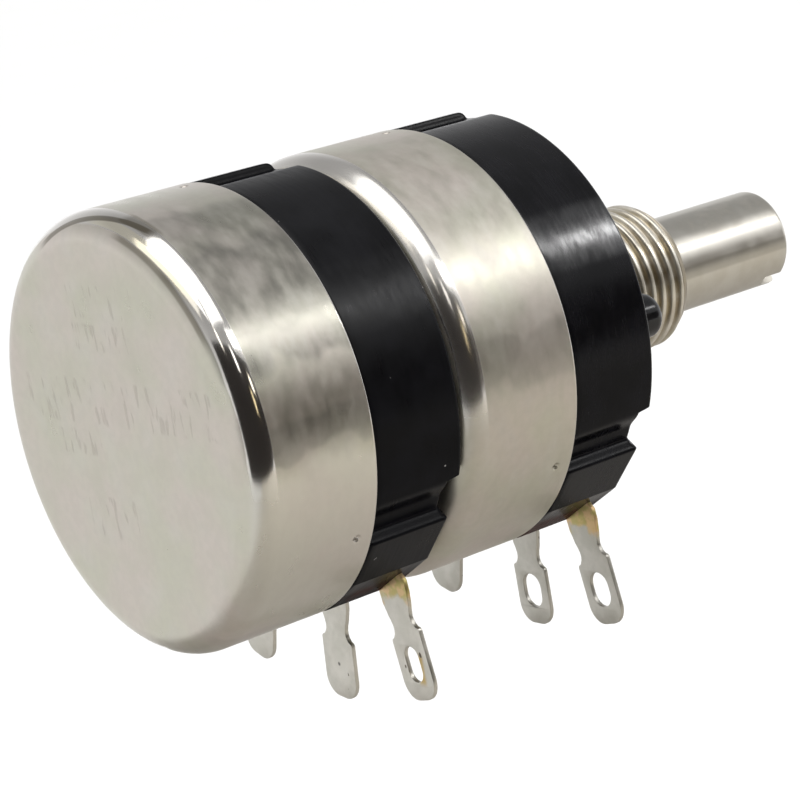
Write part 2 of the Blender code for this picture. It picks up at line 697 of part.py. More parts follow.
# ---------------------------------------------------------------- assembly
def build():
    clear_scene()
    phenolic = material("black_phenolic", (0.012, 0.012, 0.014), 0.0, 0.32)
    nickel = material("nickel_plate", (0.62, 0.60, 0.56), 1.0, 0.32)
    steel = material("shaft_steel", (0.60, 0.59, 0.56), 1.0, 0.28)
    brass = material("plated_brass", (0.66, 0.58, 0.42), 1.0, 0.30)
    tin = material("tinned_brass", (0.60, 0.57, 0.50), 1.0, 0.42)
    laminate = material("paper_laminate", (0.25, 0.13, 0.05), 0.0, 0.55)
    carbon = material("carbon_film", (0.01, 0.01, 0.01), 0.0, 0.5)
    silver = material("silver_film", (0.70, 0.69, 0.66), 1.0, 0.35)
    nylon = material("rotor_moulding", (0.55, 0.50, 0.38), 0.0, 0.5)
    bronze = material("spring_bronze", (0.60, 0.36, 0.18), 1.0, 0.35)

    front = moulded_base("front_base", 0.0, phenolic, BUSHING_RADIUS - THREAD_DEPTH + 0.05)
    add_counterbore(front)
    add_peg(front)
    rear = moulded_base("rear_base", GANG_PITCH, phenolic, REAR_DRIVE[0] + RUNNING_GAP)
    drill_for_gang_rivets(rear, GANG_PITCH - 1.0, GANG_PITCH + 2.5)

    front_cover = cover("front_cover", BASE_LENGTH + GAP, nickel, hole_radius=3.2)
    cover_back = BASE_LENGTH + CAN_LENGTH
    drill_for_gang_rivets(front_cover, cover_back - 1.2, cover_back + 1.0)
    cover("rear_cover", GANG_PITCH + BASE_LENGTH + GAP, nickel)

    threaded_bushing(brass)
    shaft(steel)
    retaining_clip(steel)
    for gang in GANGS:
        wafer(gang, laminate)
        track(gang, carbon)
        collector(gang, silver)
        rotor(gang, nylon)
        wiper_spring(gang, bronze)
        for place in PLACES:
            terminal(gang, place, tin)
            terminal_rivet(gang, place, brass)
    for place, angle in GANG_RIVETS:
        gang_rivet(place, angle, brass)


build()
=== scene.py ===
"""Looks of the dual-gang rotary potentiometer: detailed pieces, materials, camera and studio.

Lengths are in millimetres and angles in degrees until a mesh is made. Angles round the shaft
run from +X towards +Z, and y runs along the shaft towards the rear cover.
"""

import json
from math import atan2, cos, pi, radians, sin

import bmesh
import bpy
import numpy as np
from mathutils import Matrix, Quaternion, Vector
from mathutils.geometry import tessellate_polygon


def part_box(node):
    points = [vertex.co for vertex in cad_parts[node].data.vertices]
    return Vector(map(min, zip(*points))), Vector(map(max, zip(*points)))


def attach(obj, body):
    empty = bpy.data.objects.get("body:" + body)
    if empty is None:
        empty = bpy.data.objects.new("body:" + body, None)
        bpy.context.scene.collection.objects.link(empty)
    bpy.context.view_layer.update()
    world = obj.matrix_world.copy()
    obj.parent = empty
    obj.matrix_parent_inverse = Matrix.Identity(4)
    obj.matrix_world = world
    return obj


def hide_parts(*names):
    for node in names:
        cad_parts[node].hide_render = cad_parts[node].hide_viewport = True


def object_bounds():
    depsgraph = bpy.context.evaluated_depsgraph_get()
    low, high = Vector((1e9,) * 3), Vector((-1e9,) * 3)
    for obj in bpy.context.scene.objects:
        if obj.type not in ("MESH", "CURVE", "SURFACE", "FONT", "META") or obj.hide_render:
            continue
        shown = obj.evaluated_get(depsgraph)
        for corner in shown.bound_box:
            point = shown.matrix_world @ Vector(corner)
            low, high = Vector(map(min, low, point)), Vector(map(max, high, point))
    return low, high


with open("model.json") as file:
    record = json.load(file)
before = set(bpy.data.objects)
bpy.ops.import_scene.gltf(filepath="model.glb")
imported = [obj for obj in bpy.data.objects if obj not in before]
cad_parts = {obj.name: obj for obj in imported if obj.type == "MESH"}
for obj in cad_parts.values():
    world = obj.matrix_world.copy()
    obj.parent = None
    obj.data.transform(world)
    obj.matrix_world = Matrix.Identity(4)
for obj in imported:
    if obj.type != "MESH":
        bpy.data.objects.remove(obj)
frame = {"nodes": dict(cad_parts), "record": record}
cad_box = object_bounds()

MM = 0.001
GANGS = ("front", "rear")
PLACES = ("left", "centre", "right")
LUG_SIDE = 270.0
COVER_RADIUS = 12.4
COVER_CORNER = 1.65
BASE_LENGTH = 5.8
BASE_GAP = 0.03
THREAD_RADIUS = 4.47
THREAD_DEPTH = 0.30
SHAFT_RADIUS = 3.0

# ------ camera
CAMERA_AIM = (-1.776, 10.323, -2.297)
CAMERA_AZIMUTH = 235.02
CAMERA_ELEVATION = 12.12
CAMERA_ROLL = -10.04
CAMERA_DISTANCE = 158.32
CAMERA_LENS = 125.65


def direction(azimuth, elevation):
    """Unit vector towards a place round the object: azimuth 0 is in front of the shaft's end."""
    a, e = radians(azimuth), radians(elevation)
    return Vector((sin(a) * cos(e), -cos(a) * cos(e), sin(e)))


def add_camera():
    data = bpy.data.cameras.new("camera")
    data.lens = CAMERA_LENS
    data.clip_start = 0.005
    data.clip_end = 20.0
    camera = bpy.data.objects.new("camera", data)
    bpy.context.scene.collection.objects.link(camera)
    back = direction(CAMERA_AZIMUTH, CAMERA_ELEVATION)
    camera.location = (Vector(CAMERA_AIM) + back * CAMERA_DISTANCE) * MM
    camera.rotation_mode = "QUATERNION"
    roll = Quaternion((0.0, 0.0, 1.0), radians(CAMERA_ROLL))
    camera.rotation_quaternion = (-back).to_track_quat("-Z", "Y") @ roll
    bpy.context.scene.camera = camera


add_camera()


# ------ mesh helpers
def finish_mesh(name, bm, surface, smooth=40.0):
    """Object in metres from a mesh in millimetres; edges sharper than the smooth angle stay sharp."""
    bmesh.ops.recalc_face_normals(bm, faces=bm.faces)
    bmesh.ops.scale(bm, vec=Vector((MM, MM, MM)), verts=bm.verts)
    mesh = bpy.data.meshes.new(name)
    bm.to_mesh(mesh)
    bm.free()
    mesh.shade_smooth()
    mesh.set_sharp_from_angle(angle=radians(smooth))
    mesh.materials.append(surface)
    piece = bpy.data.objects.new(name, mesh)
    bpy.context.scene.collection.objects.link(piece)
    return piece


def loft(name, rows, angles, surface, smooth=40.0, closed=True):
    """Skin over rows round the shaft, each a radius and a y: one for all angles, or one per angle.

    A row of radius 0 is one point. Closed joins the last row to the first.
    """
    turn = np.radians(angles)
    bm = bmesh.new()
    rings = []
    for radius, height in rows:
        radius = np.broadcast_to(radius, turn.shape)
        height = np.broadcast_to(height, turn.shape)
        if radius.max() == 0.0:
            rings.append([bm.verts.new((0.0, height[0], 0.0))] * len(turn))
            continue
        points = np.stack((radius * np.cos(turn), height, radius * np.sin(turn)), axis=1)
        rings.append([bm.verts.new(point) for point in points])
    pairs = list(zip(rings, rings[1:]))
    if closed:
        pairs.append((rings[-1], rings[0]))
    count = len(turn)
    for low, high in pairs:
        for a in range(count):
            b = (a + 1) % count
            corners = list(dict.fromkeys((low[a], low[b], high[b], high[a])))
            if len(corners) > 2:
                bm.faces.new(corners)
    return finish_mesh(name, bm, surface, smooth)


def fillet(centre_r, centre_y, radius, start, end, steps):
    """Points of a small arc in the (radius, y) plane; 0 degrees is outwards, 90 is to the rear."""
    turns = np.radians(np.linspace(start, end, steps + 1))
    return [(centre_r + radius * cos(t), centre_y + radius * sin(t)) for t in turns]


def spread(*stretches):
    """Joins evenly spaced stretches (start, end, step) into one sorted list without repeats."""
    values = np.concatenate([np.arange(a, b, step) for a, b, step in stretches])
    return np.unique(values.round(5))


def ease(value, start, end):
    """Smooth step from 0 at the start to 1 at the end."""
    t = np.clip((value - start) / (end - start), 0.0, 1.0)
    return t * t * (3.0 - 2.0 * t)


def off_lug_side(angles):
    """Signed angle from the lug side, -180 to 180."""
    return (np.asarray(angles) - LUG_SIDE + 180.0) % 360.0 - 180.0


def cut(piece, tool):
    """Cuts a tool away from a piece and removes the tool."""
    step = piece.modifiers.new("cut", "BOOLEAN")
    step.operation = "DIFFERENCE"
    step.solver = "EXACT"
    step.object = tool
    bpy.context.view_layer.update()
    cut_mesh = bpy.data.meshes.new_from_object(piece.evaluated_get(bpy.context.evaluated_depsgraph_get()))
    piece.modifiers.clear()
    piece.data = cut_mesh
    bpy.data.objects.remove(tool)
    return piece


def prism(name, outline, y_start, y_end, surface, holes=(), edge=0.0):
    """Flat plate across the shaft axis; its edges are rounded by a bevel."""
    loops = [outline, *holes]
    triangles = tessellate_polygon([[Vector((x, z, 0.0)) for x, z in loop] for loop in loops])
    bm = bmesh.new()
    layers = [[bm.verts.new((x, y, z)) for loop in loops for x, z in loop] for y in (y_start, y_end)]
    for layer in layers:
        for corners in triangles:
            bm.faces.new([layer[corner] for corner in corners])
    first = 0
    for loop in loops:
        for index in range(len(loop)):
            a = first + index
            b = first + (index + 1) % len(loop)
            bm.faces.new((layers[0][a], layers[0][b], layers[1][b], layers[1][a]))
        first += len(loop)
    bmesh.ops.dissolve_limit(bm, angle_limit=radians(1.0), verts=bm.verts, edges=bm.edges)
    if edge:
        bmesh.ops.recalc_face_normals(bm, faces=bm.faces)
        rims = [e for e in bm.edges if len(e.link_faces) == 2 and e.calc_face_angle() > radians(60.0)]
        bmesh.ops.bevel(bm, geom=rims, offset=edge, segments=2, affect="EDGES", profile=0.5)
    return finish_mesh(name, bm, surface)


# ------ material helpers
class Surface:
    """A node material under construction, with positions in millimetres."""

    def __init__(self, name, metallic, roughness, colour):
        self.material = bpy.data.materials.new(name)
        self.material.use_nodes = True
        self.tree = self.material.node_tree
        self.shader = self.tree.nodes["Principled BSDF"]
        self.shader.inputs["Metallic"].default_value = metallic
        self.shader.inputs["Roughness"].default_value = roughness
        self.shader.inputs["Base Color"].default_value = (*colour, 1.0)
        self.place = self.scaled(self.node("ShaderNodeTexCoord").outputs["Object"], 1.0 / MM)
        parts = self.node("ShaderNodeSeparateXYZ", Vector=self.place)
        self.x, self.y, self.z = parts.outputs
        self.radius = self.distance(self.x, self.z)
        self.turn = self.math("ARCTAN2", self.x, self.z)

    def node(self, kind, **inputs):
        made = self.tree.nodes.new(kind)
        for name, value in inputs.items():
            self.put(made.inputs[name.replace("_", " ")], value)
        return made

    def put(self, socket, value):
        if isinstance(value, bpy.types.NodeSocket):
            self.tree.links.new(value, socket)
        else:
            socket.default_value = value

    def math(self, operation, first, second=0.0, third=0.0):
        made = self.tree.nodes.new("ShaderNodeMath")
        made.operation = operation
        for socket, value in zip(made.inputs, (first, second, third)):
            self.put(socket, value)
        return made.outputs[0]

    def square(self, value):
        return self.math("MULTIPLY", value, value)

    def product(self, first, *others):
        for other in others:
            first = self.math("MULTIPLY", first, other)
        return first

    def total(self, first, *others):
        for other in others:
            first = self.math("ADD", first, other)
        return first

    def distance(self, across, up):
        return self.math("SQRT", self.total(self.square(across), self.square(up)))

    def around(self):
        """Angle round the shaft, -90 to 270."""
        return self.math("MULTIPLY_ADD", self.turn, -180.0 / pi, 90.0)

    def scaled(self, vector, scale):
        made = self.tree.nodes.new("ShaderNodeVectorMath")
        made.operation = "SCALE"
        self.put(made.inputs[0], vector)
        made.inputs["Scale"].default_value = scale
        return made.outputs[0]

    def combine(self, x, y, z):
        return self.node("ShaderNodeCombineXYZ", X=x, Y=y, Z=z).outputs[0]

    def wrapped(self, around, along, across=1.0):
        """Coordinates that follow a round surface: stretched round it, along it and outwards."""
        return self.combine(self.product(self.turn, self.radius, around), self.product(self.y, along),
                            self.product(self.radius, across))

    def noise(self, place, scale, detail=4.0, roughness=0.5):
        return self.node("ShaderNodeTexNoise", Vector=place, Scale=scale, Detail=detail,
                         Roughness=roughness).outputs["Fac"]

    def ramp(self, value, low, high, to_low=0.0, to_high=1.0):
        made = self.node("ShaderNodeMapRange", Value=value, From_Min=low, From_Max=high,
                         To_Min=to_low, To_Max=to_high)
        made.interpolation_type = "SMOOTHSTEP"
        return made.outputs["Result"]

    def band(self, value, start, end, soft):
        """1 between two limits, with soft sides."""
        rise = self.ramp(value, start - soft, start)
        return self.product(rise, self.ramp(value, end, end + soft, 1.0, 0.0))

    def mix(self, share, first, second):
        made = self.tree.nodes.new("ShaderNodeMix")
        made.data_type = "RGBA"
        self.put(made.inputs["Factor"], share)
        for name, value in (("A", first), ("B", second)):
            socket = [s for s in made.inputs if s.name == name and s.type == "RGBA"][0]
            self.put(socket, value if isinstance(value, bpy.types.NodeSocket) else (*value, 1.0))
        return [s for s in made.outputs if s.type == "RGBA"][0]

    def colour(self, value):
        self.tree.links.new(value, self.shader.inputs["Base Color"])

    def roughness(self, value):
        self.tree.links.new(value, self.shader.inputs["Roughness"])

    def bump(self, height, depth):
        """Fine relief: height 0 to 1 stands for a depth in millimetres."""
        made = self.node("ShaderNodeBump", Height=height, Strength=1.0, Distance=depth * MM)
        previous = self.shader.inputs["Normal"]
        if previous.is_linked:
            self.tree.links.new(previous.links[0].from_socket, made.inputs["Normal"])
        self.tree.links.new(made.outputs["Normal"], previous)


# ------ where the solder lugs stand
SIDE_LUGS = {
    ("front", "left"): ((-5.55, -10.96), -10.5),
    ("front", "right"): ((7.03, -10.99), 16.0),
    ("rear", "left"): ((-5.55, -10.96), -10.5),
    ("rear", "right"): ((7.45, -10.95), 18.0),
}
SIDE_LUG_LENGTH = 6.9
MIDDLE_LUG_Z = -11.9
MIDDLE_LUG_LENGTH = 6.75
REAR_MIDDLE_TURN = 6.8
REAR_MIDDLE_LENGTH = 7.03
SIDE_RIVET = (2.83, -8.23)
MIDDLE_RIVET = (0.0, -8.2)
CLOSED_EYELETS = (("front", "right"), ("rear", "centre"), ("rear", "right"))
EYELET_UP = 2.1
EYELET_SIZE = (0.80, 0.24)
NARROWED_EYELET = ("rear", "left")
NARROWED_SIZE = (0.64, 0.40)


def lug_frame(gang, place_name):
    """Root point, turn, length and rivet point of a lug."""
    if place_name != "centre":
        side = -1 if place_name == "left" else 1
        return *SIDE_LUGS[gang, place_name], SIDE_LUG_LENGTH, (side * SIDE_RIVET[0], SIDE_RIVET[1])
    if gang == "front":
        return (0.0, MIDDLE_LUG_Z), 0.0, MIDDLE_LUG_LENGTH, MIDDLE_RIVET
    reach = MIDDLE_RIVET[1] - MIDDLE_LUG_Z
    turn = radians(REAR_MIDDLE_TURN)
    root = (reach * sin(turn), MIDDLE_RIVET[1] - reach * cos(turn))
    return root, REAR_MIDDLE_TURN, REAR_MIDDLE_LENGTH, MIDDLE_RIVET


def eyelet_centre(gang, place_name):
    (root_x, root_z), fan, length, _ = lug_frame(gang, place_name)
    reach = length - EYELET_UP
    return root_x + reach * sin(radians(fan)), root_z - reach * cos(radians(fan))


# ------ covers' nickel
# Angles are round the shaft; a rise goes from 0 at the side of a cover to 90 at its rear face.
NICKEL_GREENISH = (0.495, 0.485, 0.405)
NICKEL_PINKISH = (0.54, 0.493, 0.447)
NICKEL_BRIGHT = (0.57, 0.55, 0.51)
NICKEL_DULL = (0.43, 0.42, 0.35)
NICKEL_GRAIN = (0.38, 0.36, 0.31)
NICKEL_POLISHED = (0.60, 0.58, 0.545)
PAINTED_CREAM_REFLECTION = (0.70, 0.66, 0.55)
DARK_TARNISH_AND_SHADE = (0.15, 0.145, 0.13)
DARK_LINE_AND_SHADE_TONE = (0.17, 0.15, 0.115)
GREEN_TARNISH_AND_SHADE = (0.30, 0.29, 0.22)
PALE_SHEEN = (0.66, 0.64, 0.60)
SATIN = {"front": 0.42, "rear": 0.33}
POLISHED_ROUGHNESS = {"front": 0.2, "rear": 0.12}
# Rise at which the die's polish ends, and the angles between which it fades out.
POLISHED_TO = 49.0
POLISH_FADES = (182.0, 197.0)
# Angles between which the lip of a cover turns bright.
LIP_BRIGHTENS = (120.0, 145.0)
# Bands of a side by angle: partly tarnish, partly painted shade that darkens the reflections at these
# angles, and on the rear a painted pale sheen. Each: start and end angle, softness, strength, colour.
TARNISH_AND_SHADE = {
    "front": ((102.0, 120.0, 8.0, 0.22, GREEN_TARNISH_AND_SHADE), (174.0, 181.0, 3.0, 0.28, DARK_TARNISH_AND_SHADE)),
    "rear": ((111.0, 128.0, 6.0, 0.52, DARK_TARNISH_AND_SHADE), (130.0, 147.0, 6.0, 0.74, DARK_TARNISH_AND_SHADE),
             (151.0, 158.0, 4.0, 0.72, DARK_TARNISH_AND_SHADE), (174.0, 181.0, 3.0, 0.38, DARK_TARNISH_AND_SHADE),
             (244.0, 270.0, 5.0, 0.25, DARK_TARNISH_AND_SHADE), (192.0, 224.0, 10.0, 0.5, PALE_SHEEN)),
}
# Thin dark line on the rolled edge: rise where it crosses 90 degrees, fall per degree, half width, start
# and end angle.
DARK_EDGE_LINE = (39.0, 1.15, 4.5, 72.0, 110.0)
# Patches of the rolled edge (painted shade inside the polish and where the polished strip starts) and a
# band of painted cream reflection: lowest and highest rise, start and end angle.
INNER_SHADE = (51.0, 57.0, 110.0, 146.0)
STRIP_START_SHADE = (-4.0, 20.0, 106.0, 114.0)
CREAM_REFLECTION_BAND = (31.0, 45.0, 98.0, 132.0)
# Rows of stamping on the rear face: left, right, bottom, top.
STAMPED_ROWS = (
    (-3.8, 2.3, 6.9, 8.4),
    (-2.6, 2.5, 5.1, 6.3),
    (-10.0, 9.0, 0.9, 3.2),
    (2.2, 6.8, -0.9, 0.2),
    (-0.2, 4.2, -5.6, -3.5),
)
STAMPED_DEPTH = 0.018
STAMPED_SHADE = (0.36, 0.32, 0.28)


def from_corner(s, back_y):
    """How far a point of a cover lies outwards and to the rear of the centre of its rolled edge."""
    out = s.total(s.radius, COVER_CORNER - COVER_RADIUS)
    return out, s.total(s.y, COVER_CORNER - back_y)


def polished_edge(s, back_y):
    """Mask of the band of a rolled edge that the die polished; its inner limit is sharp."""
    out, up = from_corner(s, back_y)
    limit = radians(POLISHED_TO)
    inner = s.math("SUBTRACT", s.product(out, sin(limit)), s.product(up, cos(limit)))
    waver = s.ramp(s.noise(s.wrapped(0.25, 0.0, 0.0), 1.0, detail=2.0), 0.3, 0.7, -0.06, 0.06)
    band = s.product(s.ramp(up, -0.06, 0.05), s.ramp(s.total(inner, waver), -0.05, 0.05))
    return s.product(band, s.ramp(s.around(), *POLISH_FADES, 1.0, 0.0))


def edge_patch(s, rise, around, limits, rise_soft, around_soft):
    """Mask of a soft patch of a rolled edge."""
    low, high, start, end = limits
    return s.product(s.band(rise, low, high, rise_soft), s.band(around, start, end, around_soft))


def edge_dark_line_and_shade(s, back_y, around):
    """Masks of a rolled edge: a thin dark line, painted shade inside the polish and where the polished
    strip starts, and a painted cream reflection.
    """
    out, up = from_corner(s, back_y)
    rise = s.product(s.math("ARCTAN2", up, out), 180.0 / pi)
    level, slope, half, start, end = DARK_EDGE_LINE
    off = s.total(rise, s.math("MULTIPLY_ADD", around, slope, -90.0 * slope - level))
    line = s.product(s.band(off, -half, half, 3.5), s.band(around, start, end, 7.0))
    shade = edge_patch(s, rise, around, INNER_SHADE, 5.0, 7.0)
    # Painted shade where the polished strip starts.
    dull = edge_patch(s, rise, around, STRIP_START_SHADE, 6.0, 4.0)
    # Painted cream reflection on the polished edge.
    cream_reflection = edge_patch(s, rise, around, CREAM_REFLECTION_BAND, 4.0, 9.0)
    shade = s.math("MAXIMUM", shade, dull)
    return s.total(s.product(line, 0.85), s.product(shade, 0.6)), cream_reflection


def stamping(s, back_y):
    """Mask of worn rows of short upright strokes on the rear face; they spell nothing."""
    squeezed = s.combine(s.product(s.x, 1.9), 0.0, s.product(s.z, 0.42))
    strokes = s.noise(squeezed, 1.0, detail=2.0, roughness=0.6)
    rows = [s.product(s.band(s.x, left, right, 0.5), s.band(s.z, bottom, top, 0.25))
            for left, right, bottom, top in STAMPED_ROWS]
    marks = s.product(s.total(*rows), s.ramp(strokes, 0.56, 0.64))
    return s.product(marks, s.ramp(s.y, back_y - 0.1, back_y - 0.05))


def tarnished_and_shaded(s, tone, gang, around, side, clouds):
    """Colour with the cover's bands of tarnish, painted shade and painted sheen; their limits waver and
    they are patchy.
    """
    wavy = s.total(around, s.ramp(s.noise(s.place, 0.3, detail=2.0), 0.35, 0.65, -2.5, 2.5))
    for start, end, soft, strength, colour in TARNISH_AND_SHADE[gang]:
        patchy = s.ramp(clouds, 0.75, 1.25, strength, 0.66 * strength)
        tone = s.mix(s.product(s.band(wavy, start, end, soft), side, patchy), tone, colour)
    return tone


def nickel_cover_surface(gang):
    """Nickel plate on drawn steel: satin, lightly tarnished, with a rolled edge polished by the die; bands
    of painted shade and a painted pale sheen round the side, and on the rear cover's rolled edge a painted
    cream reflection, a thin dark line and painted shade.
    """
    satin = SATIN[gang]
    s = Surface(f"nickel_cover_{gang}", 1.0, satin, NICKEL_PINKISH)
    open_y, back_y = [corner.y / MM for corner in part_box(f"{gang}_cover")]
    around = s.around()
    side = s.ramp(s.radius, COVER_RADIUS - 0.9, COVER_RADIUS - 0.4)
    blotch = s.noise(s.place, 0.22, detail=3.0)
    on_side = s.noise(s.wrapped(0.55, 1.2), 1.0)
    on_face = s.noise(s.place, 0.5, detail=3.0)
    mottle = s.node("ShaderNodeMapRange", Value=side, To_Min=on_face, To_Max=on_side).outputs["Result"]
    grain = s.noise(s.place, 2.0, detail=2.0)

    tone = s.mix(s.ramp(blotch, 0.32, 0.68), NICKEL_GREENISH, NICKEL_PINKISH)
    tone = s.mix(s.ramp(mottle, 0.45, 0.72, 0.0, 0.35), tone, NICKEL_BRIGHT)
    tone = s.mix(s.ramp(mottle, 0.28, 0.47, 0.3, 0.0), tone, NICKEL_DULL)
    tone = s.mix(s.ramp(grain, 0.3, 0.7, 0.0, 0.16), tone, NICKEL_GRAIN)
    # Bands round the side: tarnish, painted shade over the reflections, and a painted pale sheen.
    tone = tarnished_and_shaded(s, tone, gang, around, side, s.total(mottle, blotch))

    rolled = polished_edge(s, back_y)
    lip = s.product(s.ramp(s.y, open_y + 0.10, open_y + 0.16, 1.0, 0.0), s.ramp(around, *LIP_BRIGHTENS))
    bright = s.math("MAXIMUM", rolled, lip)
    uneven = s.total(s.ramp(mottle, 0.3, 0.7, -0.04, 0.04), s.ramp(blotch, 0.3, 0.7, -0.03, 0.03), satin)
    s.roughness(s.ramp(bright, 0.0, 1.0, uneven, POLISHED_ROUGHNESS[gang]))
    if gang == "rear":
        marks = stamping(s, back_y)
        tone = s.mix(s.product(marks, 0.4), tone, STAMPED_SHADE)
        s.bump(marks, -STAMPED_DEPTH)
    tone = s.mix(bright, tone, NICKEL_POLISHED)
    if gang == "rear":
        # Rear rolled edge: a painted cream reflection, a thin dark line and painted shade.
        dark_line_and_shade, cream_reflection = edge_dark_line_and_shade(s, back_y, around)
        tone = s.mix(cream_reflection, tone, PAINTED_CREAM_REFLECTION)
        tone = s.mix(dark_line_and_shade, tone, DARK_LINE_AND_SHADE_TONE)
    s.colour(tone)
    s.bump(mottle, 0.005)
    s.bump(grain, 0.0015)
    return s.material


# ------ bases' phenolic
PHENOLIC_BLACK = (0.0008, 0.0008, 0.0016)
PHENOLIC_GREY = (0.0022, 0.0022, 0.0036)
FLUX_STAIN = (0.026, 0.008, 0.006)
WHITE_SPECK = (0.25, 0.24, 0.23)
# Patch of extra shine, partly rubbed and partly a painted highlight where the key light reflects: start and
# end angle, what it adds to the shine and what to the roughness.
RUBBED_AND_HIGHLIGHT_PATCH = {"front": (146.0, 157.0, 3.2, -0.07), "rear": (143.0, 157.0, 0.3, 0.0)}
# Shine cut at the top and at the foot of a base: painted shade.
TOP_PAINTED_SHADE = {"front": 0.40, "rear": 0.56}
TOP_PAINTED_SHADE_Z = (9.5, 12.0)
FOOT_PAINTED_SHADE = 0.47
FOOT_PAINTED_SHADE_Z = (-10.9, -9.4)
STAINED_FOOT_Z = (-10.9, -10.2)
STAINED_FOOT_X = (3.4, 7.0)


def base_face_y(gang):
    """Where the front face of a base lies along the shaft."""
    return (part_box(f"{gang}_cover")[0] / MM).y - BASE_GAP - BASE_LENGTH


def phenolic_surface(gang, gloss, shine):
    """Black moulded phenolic with fine lines round it, shine cut at the top and foot as painted shade, and
    a patch of extra shine that is partly rubbed and partly a painted highlight.
    """
    s = Surface(f"black_phenolic_{gang}", 0.0, gloss, PHENOLIC_GREY)
    start, end, rubbed_and_highlight_shine, rubbed_and_highlight_roughness = RUBBED_AND_HIGHLIGHT_PATCH[gang]
    lines = s.noise(s.wrapped(0.5, 5.0), 1.0, detail=3.0)
    cloud = s.noise(s.place, 0.5)

    tone = s.mix(s.ramp(cloud, 0.35, 0.7), PHENOLIC_BLACK, PHENOLIC_GREY)
    foot = s.product(s.ramp(s.z, *STAINED_FOOT_Z, 1.0, 0.0),
                     s.band(s.math("ABSOLUTE", s.x), *STAINED_FOOT_X, 0.6))
    tone = s.mix(s.product(foot, s.ramp(cloud, 0.35, 0.6)), tone, FLUX_STAIN)
    if gang == "rear":
        tone = s.mix(s.ramp(s.noise(s.place, 2.1, detail=1.0), 0.80, 0.82), tone, WHITE_SPECK)
    s.colour(tone)

    face_y = base_face_y(gang)
    patch = s.product(s.band(s.around(), start, end, 4.0),
                      s.ramp(s.noise(s.wrapped(0.8, 1.6), 1.0), 0.3, 0.65, 0.4, 1.1),
                      s.ramp(s.y, face_y, face_y + 6.0, 1.4, 0.6))
    # Shine: half as much toward the bottom, cut at the top and foot as painted shade, raised in the patch
    # as a partly painted highlight.
    level = s.total(s.ramp(s.z, -4.0, 4.0, 0.5, 1.0), s.ramp(s.z, *TOP_PAINTED_SHADE_Z, 0.0, -TOP_PAINTED_SHADE[gang]),
                    s.ramp(s.z, *FOOT_PAINTED_SHADE_Z, -FOOT_PAINTED_SHADE, 0.0), s.product(patch, rubbed_and_highlight_shine))
    s.put(s.shader.inputs["Specular IOR Level"], s.product(level, shine))
    wear = s.total(s.ramp(lines, 0.3, 0.75, -0.03, 0.04), s.ramp(cloud, 0.3, 0.7, -0.03, 0.03))
    s.roughness(s.total(wear, gloss, s.product(patch, rubbed_and_highlight_roughness)))
    s.bump(lines, 0.003)
    return s.material


# ------ other materials
SHAFT_DULL = (0.51, 0.485, 0.43)
SHAFT_PALE = (0.57, 0.55, 0.50)
# Bands of the shaft (a stain, a painted highlight and a painted dark reflection): start and end angle,
# softness.
SHAFT_STAIN = (106.0, 136.0, 9.0)
SHAFT_PAINTED_HIGHLIGHT = (158.0, 172.0, 5.0)
SHAFT_PAINTED_DARK_REFLECTION = (178.0, 188.0, 4.0)


def shaft_surface():
    """Turned and plated shaft: rings of fine lathe lines, soft stains, a painted highlight band and a
    painted dark reflection band.
    """
    s = Surface("shaft_nickel", 1.0, 0.2, SHAFT_DULL)
    lines = s.noise(s.wrapped(0.15, 14.0), 1.0, detail=2.0)
    cloud = s.noise(s.place, 0.7)
    around = s.around()
    plate = s.mix(s.ramp(cloud, 0.35, 0.7), SHAFT_DULL, SHAFT_PALE)
    stain = s.product(s.band(around, *SHAFT_STAIN), s.ramp(cloud, 0.3, 0.6, 0.15, 0.5))
    plate = s.mix(stain, plate, (0.22, 0.21, 0.185))
    # Painted highlight band.
    plate = s.mix(s.product(s.band(around, *SHAFT_PAINTED_HIGHLIGHT), 0.5), plate, (0.78, 0.75, 0.69))
    # Painted dark reflection band.
    s.colour(s.mix(s.product(s.band(around, *SHAFT_PAINTED_DARK_REFLECTION), 0.4), plate, (0.24, 0.22, 0.185)))
    s.roughness(s.total(s.ramp(lines, 0.3, 0.7, 0.0, 0.04), s.ramp(cloud, 0.3, 0.7, 0.29, 0.37)))
    s.bump(lines, 0.002)
    return s.material


BUSHING_DULL = (0.56, 0.52, 0.44)
BUSHING_PALE = (0.70, 0.67, 0.60)
GROOVE_BRASS = (0.47, 0.41, 0.29)
GROOVE_BROWN = (0.20, 0.15, 0.085)
BUSHING_WORN = (135.0, 205.0, 20.0)


def bushing_surface():
    """Plated brass: pale nickel on the crests, brassy in the thread grooves and brown where worn."""
    s = Surface("bushing_nickel", 1.0, 0.3, BUSHING_DULL)
    cloud = s.noise(s.place, 0.9)
    nickel = s.mix(s.ramp(cloud, 0.35, 0.7), BUSHING_DULL, BUSHING_PALE)
    groove = s.product(s.ramp(s.radius, THREAD_RADIUS - 0.21, THREAD_RADIUS - 0.02, 1.0, 0.0),
                       s.ramp(cloud, 0.25, 0.7, 1.0, 0.5),
                       s.ramp(s.radius, SHAFT_RADIUS + 0.3, SHAFT_RADIUS + 0.7))
    worn = s.product(s.band(s.around(), *BUSHING_WORN), s.ramp(cloud, 0.3, 0.55, 0.3, 1.0))
    s.colour(s.mix(groove, nickel, s.mix(worn, GROOVE_BRASS, GROOVE_BROWN)))
    s.roughness(s.ramp(cloud, 0.3, 0.7, 0.30, 0.42))
    s.bump(s.noise(s.wrapped(0.3, 6.0), 1.0), 0.003)
    return s.material


